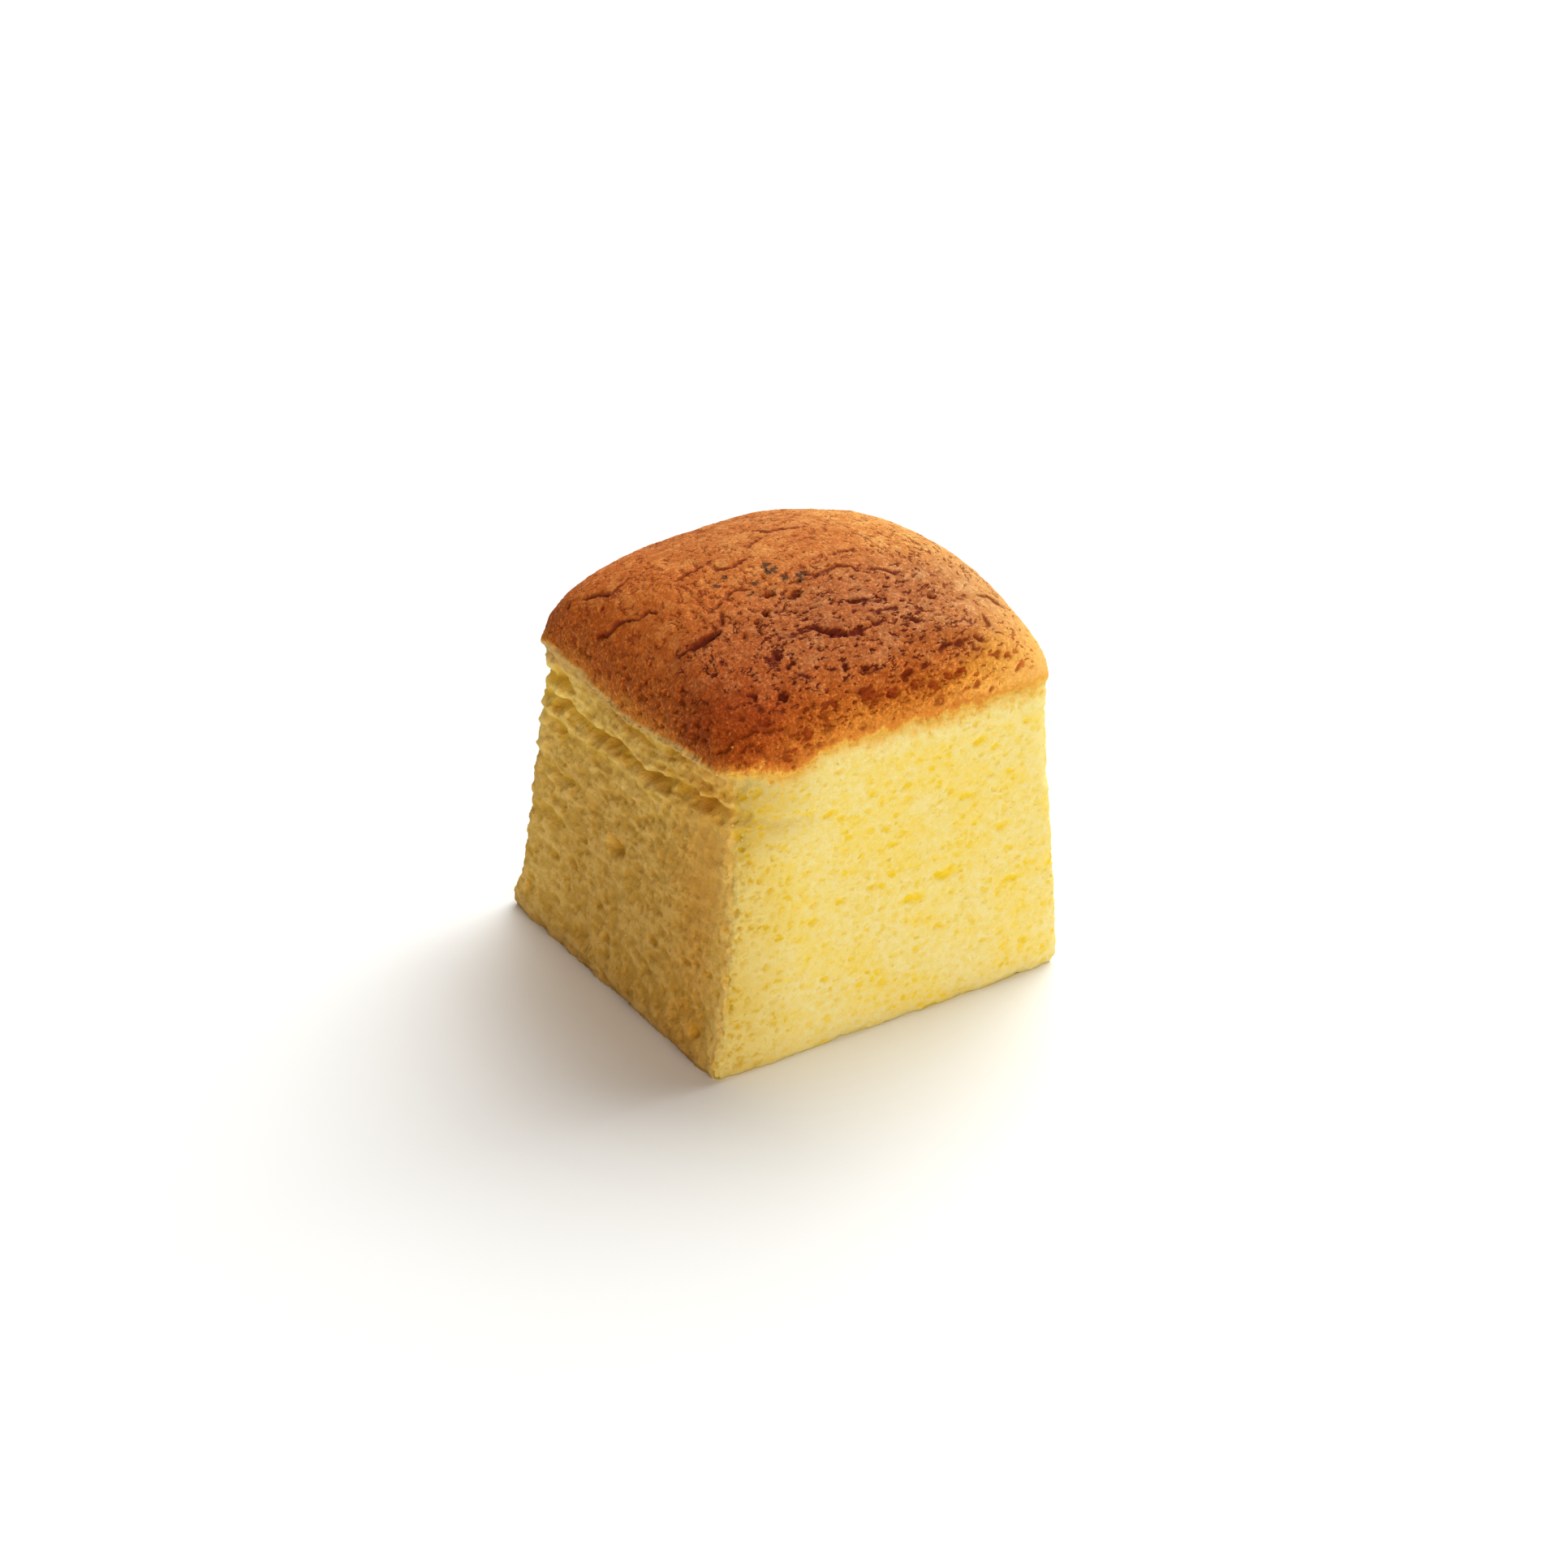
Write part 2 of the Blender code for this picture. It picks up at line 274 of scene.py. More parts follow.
def wall_ring(level, per_side, inset=0.0, lip=0.0):
    """One ring of the wall with its folds, moved inward by inset, and outward by lip on the left and back."""
    left, front, right, back = (wall_inset(side, level) for side in ("left", "front", "right", "back"))
    growth = smoothstep(CORNER_GROWTH_START, CRUST_HEIGHT, level)
    radius = CORNER_RADIUS + (CRUST_CORNER_RADIUS - CORNER_RADIUS) * growth
    x, y, out_x, out_y = rounded_ring(
        left - SIDE_X / 2, SIDE_X / 2 - right, front - SIDE_Y / 2, SIDE_Y / 2 - back, radius, per_side
    )
    pressed = inset - lip * (facing("left", out_x, out_y) + BACK_LIP_SHARE * facing("back", out_x, out_y))
    crease = np.zeros_like(x)
    sag = np.zeros_like(x)
    for fold in FOLDS:
        place = y if fold.side in ("left", "right") else x
        fade_in = smoothstep(fold.start, fold.start + FOLD_FADE, place)
        fade_out = 1.0 - smoothstep(fold.end - FOLD_FADE, fold.end, place)
        strength = facing(fold.side, out_x, out_y) * fade_in * fade_out * fold.depth
        wander = waves(FOLD_WANDER, place, fold.level)
        strength = strength * (FOLD_USUAL + waves(FOLD_PULSE, place, fold.level))
        offset = (level - fold.level - wander) / fold.half_width
        swell = FOLD_SWELL * hill(abs(offset) - FOLD_SWELL_REACH, FOLD_SWELL_WIDTH)
        pressed += strength * (1.0 / (1.0 + offset * offset) - swell)
        crease += np.minimum(strength, DEEPEST_CREASE) * hill(offset, 1.0)
        sag += strength * FOLD_SAG * hill(offset - 1.0, 1.0)
    z = real_height(level, x, y, out_x, out_y) - sag
    climb = np.full_like(x, level - CRUST_HEIGHT)
    wall = np.ones_like(x)
    share = np.arange(len(x)) % per_side / per_side
    edge = hill(np.minimum(share, 1.0 - share) * SIDE_X, EDGE_WIDTH)
    x, y = x - out_x * pressed, y - out_y * pressed
    return Ring(x, y, z, out_x, out_y, climb, wall, edge, crease, per_side)


def dome_bumps(x, y):
    """The humps and dents of the crust at a place in plan."""
    return sum(s.height * hill(np.hypot(x - s.x, y - s.y), s.radius) for s in SWELLS)


def dome_profile(scale):
    """The dome's height over its rim, and how far its rounded rim has risen, at one ring."""
    rim = math.sqrt(max(1.0 - scale**RIM_SHARPNESS, 0.0))
    return DOME_RISE * (1.0 - scale**2) + RIM_RISE * rim, rim


def dome_ring(scale, climb, per_side):
    """One ring of the crust, shrunk about the crust's middle."""
    left, right = CRUST_INSET["left"] - SIDE_X / 2, SIDE_X / 2 - CRUST_INSET["right"]
    front, back = CRUST_INSET["front"] - SIDE_Y / 2, SIDE_Y / 2 - CRUST_INSET["back"]
    middle_x, middle_y = (left + right) / 2, (front + back) / 2
    half_x, half_y = scale * (right - left) / 2, scale * (back - front) / 2
    roundest = min(half_x, half_y)
    radius = roundest + scale**CONTOUR_POWER * (CRUST_CORNER_RADIUS * scale - roundest)
    x, y, out_x, out_y = rounded_ring(
        middle_x - half_x, middle_x + half_x, middle_y - half_y, middle_y + half_y, radius, per_side
    )
    rise, rim = dome_profile(scale)
    edge = (1.0 - rim) * crust_edge_rise(x, y, out_x, out_y)
    z = CRUST_HEIGHT + rise + edge + rim * dome_bumps(x, y)
    none = np.zeros_like(x)
    return Ring(x, y, z, out_x, out_y, none + climb, none + 1.0, none, none, per_side)


def dome_scales(count, fine_steps=4000):
    """Scales of the crust's rings from the crown to the rim, evenly spaced over the dome, and how far
    each is from the rim along the skin."""
    fine = np.linspace(0.0, 1.0, fine_steps) ** 0.5
    reach = fine * (SIDE_X - CRUST_INSET["left"] - CRUST_INSET["right"]) / 2
    height = np.array([dome_profile(scale)[0] for scale in fine])
    run = np.concatenate([[0.0], np.cumsum(np.hypot(np.diff(reach), np.diff(height)))])
    steps = run[-1] * np.arange(1, count + 1) / count
    return np.interp(steps, run, fine), run[-1] - steps


def plan_middle(per_side=40, levels=12):
    """The middle of the foot in plan, which stands on the Z axis."""
    foot = [wall_ring(level, per_side) for level in np.linspace(0.0, FOOT_HEIGHT, levels)]
    return [
        (min(getattr(r, axis).min() for r in foot) + max(getattr(r, axis).max() for r in foot)) / 2
        for axis in "xy"
    ]


MIDDLE_X, MIDDLE_Y = plan_middle()


# The corners of a square map, in the order in which a ring passes them.
SQUARE = np.array([(-1.0, -1.0), (1.0, -1.0), (1.0, 1.0), (-1.0, 1.0)])


def square_chart(low, size):
    """Lays rings out as squares inside each other. reach is 0 in the middle and 1 on the outermost."""

    def place(side, share, reach):
        start, end = SQUARE[side], SQUARE[(side + 1) % 4]
        spot = (start + (end - start) * share[:, None]) * reach
        return np.array(low) + size * (spot + 1.0) / 2

    return place


def band_chart(lows, width, height):
    """Lays each side out as a rectangle of its own. reach is 0 on its lower edge and 1 on its upper."""

    def place(side, share, reach):
        return np.array(lows[side]) + np.stack([share * width, np.full_like(share, reach * height)], 1)

    return place


class Skin:
    """A closed surface, gathered ring by ring. A ring is lower or outer, and the next one upper or inner."""

    def __init__(self):
        self.rings = []
        self.starts = []
        self.count = 0
        self.faces = []
        self.map = []

    def add(self, ring):
        """Takes in the points of a ring and returns its number."""
        self.rings.append(ring)
        self.starts.append(self.count)
        self.count += len(ring.x)
        return len(self.rings) - 1

    def corner(self, number, side, step):
        """The index of a ring's point, counted along a side. A ring of no sides is one point."""
        per_side = self.rings[number].per_side
        if per_side == 0:
            return np.full_like(step, self.starts[number])
        return self.starts[number] + (side * per_side + step) % (4 * per_side)

    def face(self, side, corners, chart, turned):
        """Adds faces. A corner is a ring, its steps along the side, and its reach on the map."""
        points = []
        spots = []
        for number, step, reach in corners:
            per_side = self.rings[number].per_side
            points.append(self.corner(number, side, step))
            share = step / per_side if per_side else np.zeros(len(step))
            across = share >= 0.0
            spot = chart(side, np.abs(share), reach)
            if not across.all():
                spot[~across] = chart((side - 1) % 4, 1.0 + share[~across], reach)
            spots.append(spot)
        order = slice(None, None, -1 if turned else 1)
        self.faces.append(np.stack(points, 1)[:, order])
        self.map.append(np.stack(spots, 1)[:, order])

    def bridge(self, lower, upper, chart, reaches, turned=False):
        """Quads between two rings with equal counts."""
        step = np.arange(self.rings[lower].per_side)
        low, high = reaches
        below = ((lower, step, low), (lower, step + 1, low))
        above = ((upper, step + 1, high), (upper, step, high))
        for side in range(4):
            self.face(side, below + above, chart, turned)

    def narrow(self, outer, inner, chart, reaches, turned=False):
        """Quads from a ring to the next square inside it, which has two points fewer on each side."""
        per_side = self.rings[outer].per_side
        step = np.arange(1, per_side - 1)
        zero = np.zeros(1, int)
        out, into = reaches
        along = ((outer, step, out), (outer, step + 1, out), (inner, step, into), (inner, step - 1, into))
        corner = ((outer, zero - 1, out), (outer, zero, out), (outer, zero + 1, out), (inner, zero, into))
        for side in range(4):
            if len(step):
                self.face(side, along, chart, turned)
            self.face(side, corner, chart, turned)

    def stitch(self, outer, inner, chart, reaches, turned=False):
        """Triangles between two rings with different counts."""
        most, least = self.rings[outer].per_side, self.rings[inner].per_side
        out, into = reaches
        wide, thin = [], []
        i = j = 0
        while i < most or j < least:
            if j == least or (i < most and (i + 1) / most <= (j + 1) / least):
                wide.append((i, i + 1, j))
                i += 1
            else:
                thin.append((i, j + 1, j))
                j += 1
        a, b, c = np.array(wide).T
        d, e, f = np.array(thin).T
        for side in range(4):
            self.face(side, ((outer, a, out), (outer, b, out), (inner, c, into)), chart, turned)
            self.face(side, ((outer, d, out), (inner, e, into), (inner, f, into)), chart, turned)

    def gathered(self, field):
        """One value of all points."""
        return np.concatenate([getattr(ring, field) for ring in self.rings])

    def points(self):
        """All points, with the foot's middle on the Z axis."""
        return np.stack([self.gathered("x") - MIDDLE_X, self.gathered("y") - MIDDLE_Y, self.gathered("z")], 1)

    def marks(self):
        """What both relief and colour need to know at each point."""
        out_x, out_y = self.gathered("out_x"), self.gathered("out_y")
        return {
            "climb": self.gathered("climb"),
            "outward": np.stack([out_x, out_y, np.zeros_like(out_x)], 1),
            "edge": self.gathered("edge"),
            "crease": np.minimum(self.gathered("crease"), 1.0),
        }

    def mesh(self, name, values):
        """The surface as a mesh, with a value at each point for every name in values."""
        mesh = bpy.data.meshes.new(name)
        faces = [tuple(face) for part in self.faces for face in part.tolist()]
        mesh.from_pydata((self.points() * MM).tolist(), [], faces)
        mesh.shade_smooth()
        spots = np.concatenate([part.reshape(-1, 2) for part in self.map])
        mesh.uv_layers.new(name="OFBake").uv.foreach_set("vector", spots.astype(np.float32).ravel())
        for label, found in values.items():
            kind = "FLOAT" if found.ndim == 1 else "FLOAT_VECTOR"
            field = "value" if found.ndim == 1 else "vector"
            layer = mesh.attributes.new(label, kind, "POINT")
            layer.data.foreach_set(field, found.astype(np.float32).ravel())
        return mesh


# How far a cap's rings turn from a round middle towards a square edge.
CAP_SQUARENESS = 0.75


def flat_ring(ring, share, z, per_side):
    """A level ring shrunk about the middle of another, for a cap."""
    middle_x, middle_y = (ring.x.min() + ring.x.max()) / 2, (ring.y.min() + ring.y.max()) / 2
    if per_side == 0:
        one, none = np.ones(1), np.zeros(1)
        climb = one * ring.climb[0]
        return Ring(one * middle_x, one * middle_y, one * z, none, none, climb, none, none, none, 0)
    half_x, half_y = np.ptp(ring.x) * share / 2, np.ptp(ring.y) * share / 2
    radius = min(half_x, half_y) * (1.0 - CAP_SQUARENESS * share)
    x, y, out_x, out_y = rounded_ring(
        middle_x - half_x, middle_x + half_x, middle_y - half_y, middle_y + half_y, radius, per_side
    )
    none = np.zeros_like(x)
    return Ring(x, y, none + z, out_x, out_y, none + ring.climb[0], none, none, none, per_side)


def close_flat(skin, edge, z, steps, first_share, chart, turned):
    """Closes a skin across a ring with a flat square net of 2 * steps cells a side."""
    ring = skin.rings[edge]
    shares = [first_share * k / steps for k in range(steps, -1, -1)]
    nets = [skin.add(flat_ring(ring, share, z, 2 * k)) for share, k in zip(shares, range(steps, -1, -1))]
    skin.stitch(edge, nets[0], chart, (1.0, first_share), turned)
    for outer, inner, out, into in zip(nets, nets[1:], shares, shares[1:]):
        skin.narrow(outer, inner, chart, (out, into), turned)


# Named marks of the crust, in millimetres from the middle of the foot. A slit is a crack torn open, with
# the width and depth of its middle. A hole is a burst bubble.
Slit = namedtuple("Slit", "width depth points")
Hole = namedtuple("Hole", "x y z length width depth")
SLITS = [Slit(*row) for row in (
    (1.15, 0.95, ((-7.5, -19.6, 59.1), (-6.2, -20.7, 58.7), (-5.0, -21.4, 58.4), (-3.7, -21.9, 58.3))),
    (0.35, 0.3, ((-12.6, -18.6, 58.4), (-10.2, -19.3, 58.8), (-7.5, -19.6, 59.1))),
    (1.5, 0.9, ((-21.5, -11.3, 56.4), (-20.3, -11.9, 57.2), (-19.2, -12.3, 57.7), (-18.0, -12.5, 58.2))),
    (0.6, 0.4, ((-24.0, -10.2, 54.6), (-22.6, -10.8, 55.7), (-21.5, -11.3, 56.4))),
    (0.6, 0.6, ((-16.1, -9.9, 59.4), (-16.5, -11.2, 59.0), (-17.1, -12.2, 58.6))),
    (0.55, 0.5, ((-14.2, -7.8, 60.3), (-12.6, -7.3, 60.7), (-11.4, -7.7, 60.9), (-10.6, -8.4, 61.0))),
    (0.4, 0.35, ((-16.6, -8.4, 59.4), (-15.4, -8.4, 59.9), (-14.2, -7.8, 60.3))),
    (0.5, 0.4, ((-5.1, 0.4, 62.4), (-3.9, 1.5, 62.5), (-2.1, 2.0, 62.6))),
    (0.7, 0.45, ((-1.2, 5.6, 62.1), (0.0, 3.5, 62.5), (2.8, 3.3, 62.5), (5.1, 2.2, 62.5))),
    (0.55, 0.45, ((-11.4, -0.7, 61.3), (-9.6, -2.4, 61.8), (-8.0, -1.9, 62.1), (-6.2, -1.8, 62.3))),
    (0.5, 0.45, ((-2.9, -9.5, 62.0), (-1.4, -10.7, 62.0), (0.7, -10.6, 62.1), (2.6, -10.1, 62.2),
                 (3.6, -11.0, 62.0), (4.5, -12.5, 61.7))),
    (0.5, 0.4, ((5.6, -12.1, 61.7), (7.7, -12.9, 61.4), (8.9, -14.0, 61.0), (9.7, -14.9, 60.8))),
    (0.5, 0.4, ((3.1, -7.3, 62.5), (5.1, -7.2, 62.4), (7.4, -7.0, 62.3))),
    (0.4, 0.35, ((1.2, -17.6, 60.4), (3.2, -18.6, 60.0), (4.8, -18.6, 59.9))),
    (0.4, 0.35, ((1.7, -20.0, 59.4), (3.2, -20.4, 59.3), (5.2, -20.5, 59.2))),
    (0.45, 0.4, ((5.2, -21.9, 58.4), (6.5, -22.7, 57.9), (7.9, -23.2, 57.5))),
    (0.45, 0.4, ((0.5, -21.2, 58.8), (1.0, -21.8, 58.4), (2.5, -21.8, 58.5))),
    (0.5, 0.45, ((8.4, -26.1, 54.4), (9.4, -25.8, 54.9), (11.0, -26.0, 54.6), (13.0, -25.9, 54.8))),
    (0.45, 0.4, ((13.0, -26.1, 54.4), (13.5, -26.6, 53.5), (14.2, -26.8, 53.2))),
    (0.6, 0.35, ((19.3, -19.5, 56.9), (21.4, -19.7, 56.0), (21.8, -20.6, 55.3), (22.4, -20.9, 54.8))),
    (0.5, 0.35, ((17.6, -23.0, 55.9), (17.4, -24.1, 55.3), (17.4, -25.0, 54.7))),
    (0.45, 0.4, ((-15.4, -20.3, 57.1), (-14.4, -20.7, 57.2), (-13.5, -21.2, 57.2))),
    (0.45, 0.4, ((-13.1, -24.1, 55.9), (-11.5, -25.1, 55.3))),
    (0.95, 0.7, ((-25.1, 7.6, 51.2), (-24.4, 5.5, 52.5), (-23.5, 4.4, 54.1), (-22.7, 2.5, 55.2))),
    (0.5, 0.4, ((-22.7, 2.5, 55.2), (-22.1, 1.1, 55.8), (-20.8, 0.6, 57.0), (-20.6, -1.0, 57.1))),
    (0.7, 0.45, ((-23.4, 14.1, 53.8), (-22.5, 11.6, 55.1), (-21.6, 9.3, 56.1))),
    (0.45, 0.3, ((-21.6, 9.3, 56.1), (-20.4, 9.1, 57.0), (-18.9, 9.3, 57.7))),
    (0.5, 0.4, ((-16.0, 1.7, 59.7), (-14.2, 1.6, 60.4), (-13.1, 1.3, 60.7), (-10.5, 1.5, 61.4))),
    (0.7, 0.5, ((-21.2, -25.9, 51.5), (-19.8, -26.6, 51.4), (-18.3, -26.9, 51.4))),
)]
HOLES = [Hole(*row) for row in (
    (-2.3, -22.1, 58.3, 2.6, 1.6, 0.6), (-8.8, -10.6, 61.0, 1.9, 1.5, 0.9),
    (-6.0, -12.4, 61.0, 2.4, 1.5, 0.7), (-11.3, -13.6, 60.1, 1.5, 1.3, 0.8),
    (-13.1, -14.4, 59.4, 1.1, 0.8, 0.7), (-16.0, -15.6, 58.3, 1.3, 0.9, 0.6),
    (-13.8, -16.5, 58.8, 1.2, 0.6, 0.5), (0.7, -17.4, 60.4, 1.4, 1.0, 0.7),
    (11.3, -19.8, 59.0, 1.2, 0.9, 0.6), (14.8, -25.9, 54.4, 1.5, 1.1, 0.6),
    (17.2, -27.4, 51.8, 1.3, 0.9, 0.5), (18.6, -27.5, 51.2, 1.1, 0.9, 0.5),
    (20.4, -28.1, 49.4, 1.4, 1.0, 0.4), (2.7, -27.0, 52.6, 2.6, 1.3, 0.7),
    (8.7, -27.7, 51.0, 1.6, 0.9, 0.6), (10.7, -27.6, 51.1, 1.4, 0.9, 0.5),
    (-3.6, -27.4, 51.5, 3.0, 1.9, 0.6), (-0.2, -27.6, 51.0, 2.3, 1.7, 0.5),
    (3.2, -27.7, 50.9, 1.3, 1.2, 0.5), (6.1, -27.8, 50.4, 1.9, 1.5, 0.5),
    (-13.3, -22.6, 56.6, 1.7, 1.1, 0.7), (-15.7, -25.4, 53.9, 1.6, 0.9, 0.7),
    (-19.4, -23.5, 54.0, 1.1, 1.4, 0.6), (-6.3, -25.3, 55.5, 0.9, 0.8, 0.5),
    (-3.0, -25.8, 54.7, 1.0, 0.8, 0.5), (-9.1, -27.4, 51.5, 0.8, 1.3, 0.5),
    (-13.3, -28.1, 48.4, 1.4, 1.3, 0.4), (-23.4, -26.9, 48.8, 1.4, 1.0, 0.35),
    (-22.1, -27.7, 48.8, 1.3, 0.8, 0.3), (-24.3, -13.7, 52.6, 1.3, 0.9, 0.5),
    (-25.3, -9.4, 50.2, 1.0, 0.9, 0.4), (-24.3, -5.3, 52.6, 1.2, 0.8, 0.5),
    (-24.3, -1.9, 52.3, 1.0, 0.8, 0.4), (-23.5, 8.8, 54.4, 1.3, 0.9, 0.4),
    (-24.3, 16.4, 52.1, 1.6, 1.0, 0.35), (-14.7, 13.6, 58.0, 1.1, 0.9, 0.35),
    (13.4, -28.1, 48.6, 1.3, 1.1, 0.3), (15.6, -28.3, 47.4, 1.1, 0.8, 0.25),
)]

# Bubbles that scorched to a dark grey-green, with their radius.
Scorch = namedtuple("Scorch", "x y z radius")
SCORCHES = [Scorch(*row) for row in (
    (-6.1, -6.6, 62.0, 1.2), (-5.6, -5.3, 62.3, 0.8), (-5.2, -8.7, 61.8, 0.8), (-3.2, -10.3, 61.8, 1.1),
    (-2.3, -9.7, 62.0, 0.6), (-10.0, -9.4, 61.0, 0.9), (-11.3, -3.7, 61.2, 0.8), (-13.2, -4.3, 60.7, 0.7),
    (-9.0, -7.6, 61.5, 0.6),
)]

# Marks of the walls. A pocket is a large open bubble, or a soft dent where the sponge shows golden.
Pocket = namedtuple("Pocket", "along z length height depth golden")
POCKETS = {
    "left": [Pocket(*row) for row in (
        (2.0, 21.3, 4.8, 2.8, 1.4, 1.0), (5.2, 33.6, 2.6, 1.2, 0.5, 0.8), (7.6, 30.2, 2.2, 1.0, 0.4, 0.9),
        (-17.0, 35.8, 4.2, 0.8, 0.5, 0.7), (-24.0, 37.6, 3.0, 1.0, 0.4, 0.6),
        (2.5, 42.0, 2.6, 1.1, 0.7, 0.5), (-4.0, 41.8, 2.2, 1.0, 0.6, 0.5),
        (-11.0, 41.0, 3.6, 1.3, 0.8, 0.6), (-8.0, 19.2, 1.1, 0.9, 0.5, 0.9),
        (14.0, 9.5, 1.3, 2.2, 0.6, 0.5), (3.0, 7.0, 1.6, 2.0, 0.6, 0.5), (-8.0, 7.6, 2.0, 1.6, 0.6, 0.9),
        (-22.0, 5.0, 3.0, 2.4, 0.4, 1.0),
    )],
    "front": [Pocket(*row) for row in (
        (-23.0, 39.2, 1.3, 1.3, 0.7, 0.9), (-18.6, 38.1, 2.2, 0.9, 0.45, 0.7),
        (-14.0, 37.3, 2.0, 1.2, 0.5, 0.8), (-11.0, 36.2, 1.6, 0.8, 0.4, 0.8),
        (-9.0, 35.2, 1.8, 1.1, 0.4, 0.7), (13.6, 40.3, 3.2, 1.4, 0.35, 1.0),
        (16.4, 38.6, 2.2, 1.2, 0.3, 1.0), (2.0, 34.8, 2.4, 1.1, 0.35, 0.8),
        (12.4, 32.3, 4.4, 1.5, 0.3, 0.8), (8.5, 21.3, 6.0, 2.4, 0.35, 1.0), (2.6, 19.0, 5.4, 1.7, 0.3, 1.0),
        (-4.0, 23.0, 2.4, 1.1, 0.45, 1.0), (-9.0, 22.4, 2.2, 1.1, 0.4, 1.0),
        (-13.5, 23.2, 1.6, 1.2, 0.5, 0.8), (-13.4, 20.6, 2.0, 1.4, 0.5, 0.9),
        (7.2, 13.3, 2.2, 1.2, 0.5, 0.9), (-11.5, 11.0, 1.9, 1.3, 0.5, 1.0), (-2.0, 7.2, 1.8, 1.3, 0.5, 0.8),
        (19.0, 17.0, 3.4, 1.7, 0.3, 0.8), (22.0, 6.2, 2.6, 1.6, 0.3, 0.7),
        (17.6, 26.0, 3.4, 1.8, 0.25, 0.8), (-20.0, 27.4, 1.4, 1.0, 0.45, 0.7),
    )],
    "right": [Pocket(*row) for row in (
        (8.0, 24.0, 3.6, 1.6, 0.6, 1.0), (-12.0, 14.0, 2.2, 1.4, 0.5, 0.9),
        (17.0, 11.0, 2.6, 1.4, 0.5, 0.9), (-6.0, 36.5, 2.8, 1.2, 0.5, 0.8),
    )],
    "back": [Pocket(*row) for row in (
        (11.0, 16.0, 3.2, 1.7, 0.9, 1.0), (-14.0, 28.0, 2.4, 1.3, 0.7, 0.8),
        (-4.0, 8.0, 1.8, 1.5, 0.6, 0.8),
    )],
}

# The smooth tan skin on the left wall, beside the near corner: the soft stretches in which it starts and
# ends along Y and up Z.
TAN_START_Y = (-28.0, -21.0)
TAN_END_Y = (-21.5, -13.5)
TAN_START_Z = (17.0, 26.0)
TAN_END_Z = (35.5, 38.5)

# Where a mark's side climbs from its bottom to the skin, as shares of the way from its middle to its edge.
SLIT_SIDE = (0.45, 1.25)
HOLE_SIDE = (0.55, 1.2)
SCORCH_SIDE = (0.4, 1.45)
POCKET_SIDE = (0.3, 1.15)

# How wide a slit still is at its ends, how bluntly it ends, and how far its dark colour spreads past it.
SLIT_END_SHARE = 0.35
SLIT_END_CUT = 0.03
SLIT_BLUNTNESS = 0.6
STAIN_SIDE = (0.85, 1.3)
STAIN_REACH = 0.2

# How far the outline of each kind of mark is shifted, so that it is never straight or round.
SLIT_WOBBLE = 0.22
HOLE_WOBBLE = 0.34
SCORCH_WOBBLE = 0.6
POCKET_WOBBLE = 0.25
TAN_WOBBLE = 1.8

# How strong the finer waves of a wobble are beside the wider ones.
FINE_WAVE = 0.8


def wobbled(points, reach):
    """Points shifted by up to reach in soft, repeatable waves, so that marks are never straight."""
    x, y, z = points.T
    shift_x = np.sin(2.3 * y + 1.1 * z + 0.4) + FINE_WAVE * np.sin(5.1 * z - 4.7 * x + 1.9)
    shift_y = np.sin(2.9 * z - 1.7 * x + 2.2) + FINE_WAVE * np.sin(5.6 * x + 4.3 * y + 0.7)
    shift_z = np.sin(2.6 * x + 1.9 * y + 4.1) + FINE_WAVE * np.sin(6.2 * y - 4.2 * z + 3.3)
    return points + reach * np.stack([shift_x, shift_y, shift_z], 1) / (1.0 + FINE_WAVE)


def nearest_on_line(points, line):
    """Each point's distance to a line through a few places, and how far along it that is, from 0 to 1."""
    line = np.array(line)
    legs = np.linalg.norm(np.diff(line, axis=0), axis=1)
    starts = np.concatenate([[0.0], np.cumsum(legs)])
    best = np.full(len(points), np.inf)
    along = np.zeros(len(points))
    for k, leg in enumerate(legs):
        way = (line[k + 1] - line[k]) / leg
        run = np.clip((points - line[k]) @ way, 0.0, leg)
        distance = np.linalg.norm(points - line[k] - run[:, None] * way, axis=1)
        nearer = distance < best
        best = np.where(nearer, distance, best)
        along = np.where(nearer, (starts[k] + run) / starts[-1], along)
    return best, along


def slit_depths(points):
    """How deep the named slits go at each point, and how much of a slit each point is."""
    moved = wobbled(points, SLIT_WOBBLE)
    depth = np.zeros(len(points))
    share = np.zeros(len(points))
    for slit in SLITS:
        distance, along = nearest_on_line(moved, slit.points)
        middle = np.sin(math.pi * np.clip(along, SLIT_END_CUT, 1.0 - SLIT_END_CUT)) ** SLIT_BLUNTNESS
        half = slit.width / 2 * (SLIT_END_SHARE + (1.0 - SLIT_END_SHARE) * middle)
        inside = 1.0 - smoothstep(SLIT_SIDE[0] * half, SLIT_SIDE[1] * half, distance)
        depth = np.maximum(depth, inside * slit.depth)
        stain = 1.0 - smoothstep(STAIN_SIDE[0] * half, STAIN_SIDE[1] * half + STAIN_REACH, distance)
        share = np.maximum(share, stain)
    return depth, share


def hole_depths(points):
    """How deep the named holes go at each point, and how much of a hole each point is."""
    moved = wobbled(points, HOLE_WOBBLE)
    depth = np.zeros(len(points))
    share = np.zeros(len(points))
    for hole in HOLES:
        away = moved - (hole.x, hole.y, hole.z)
        round_rim = np.hypot(away[:, 0] / hole.length, np.hypot(away[:, 1], away[:, 2]) / hole.width) * 2
        inside = 1.0 - smoothstep(*HOLE_SIDE, round_rim)
        depth = np.maximum(depth, inside * hole.depth)
        share = np.maximum(share, inside)
    return depth, share


def scorch_shares(points):
    """How scorched each point is."""
    moved = wobbled(points, SCORCH_WOBBLE)
    share = np.zeros(len(points))
    start, end = SCORCH_SIDE
    for spot in SCORCHES:
        away = np.linalg.norm(moved - (spot.x, spot.y, spot.z), axis=1)
        share = np.maximum(share, 1.0 - smoothstep(start * spot.radius, end * spot.radius, away))
    return share


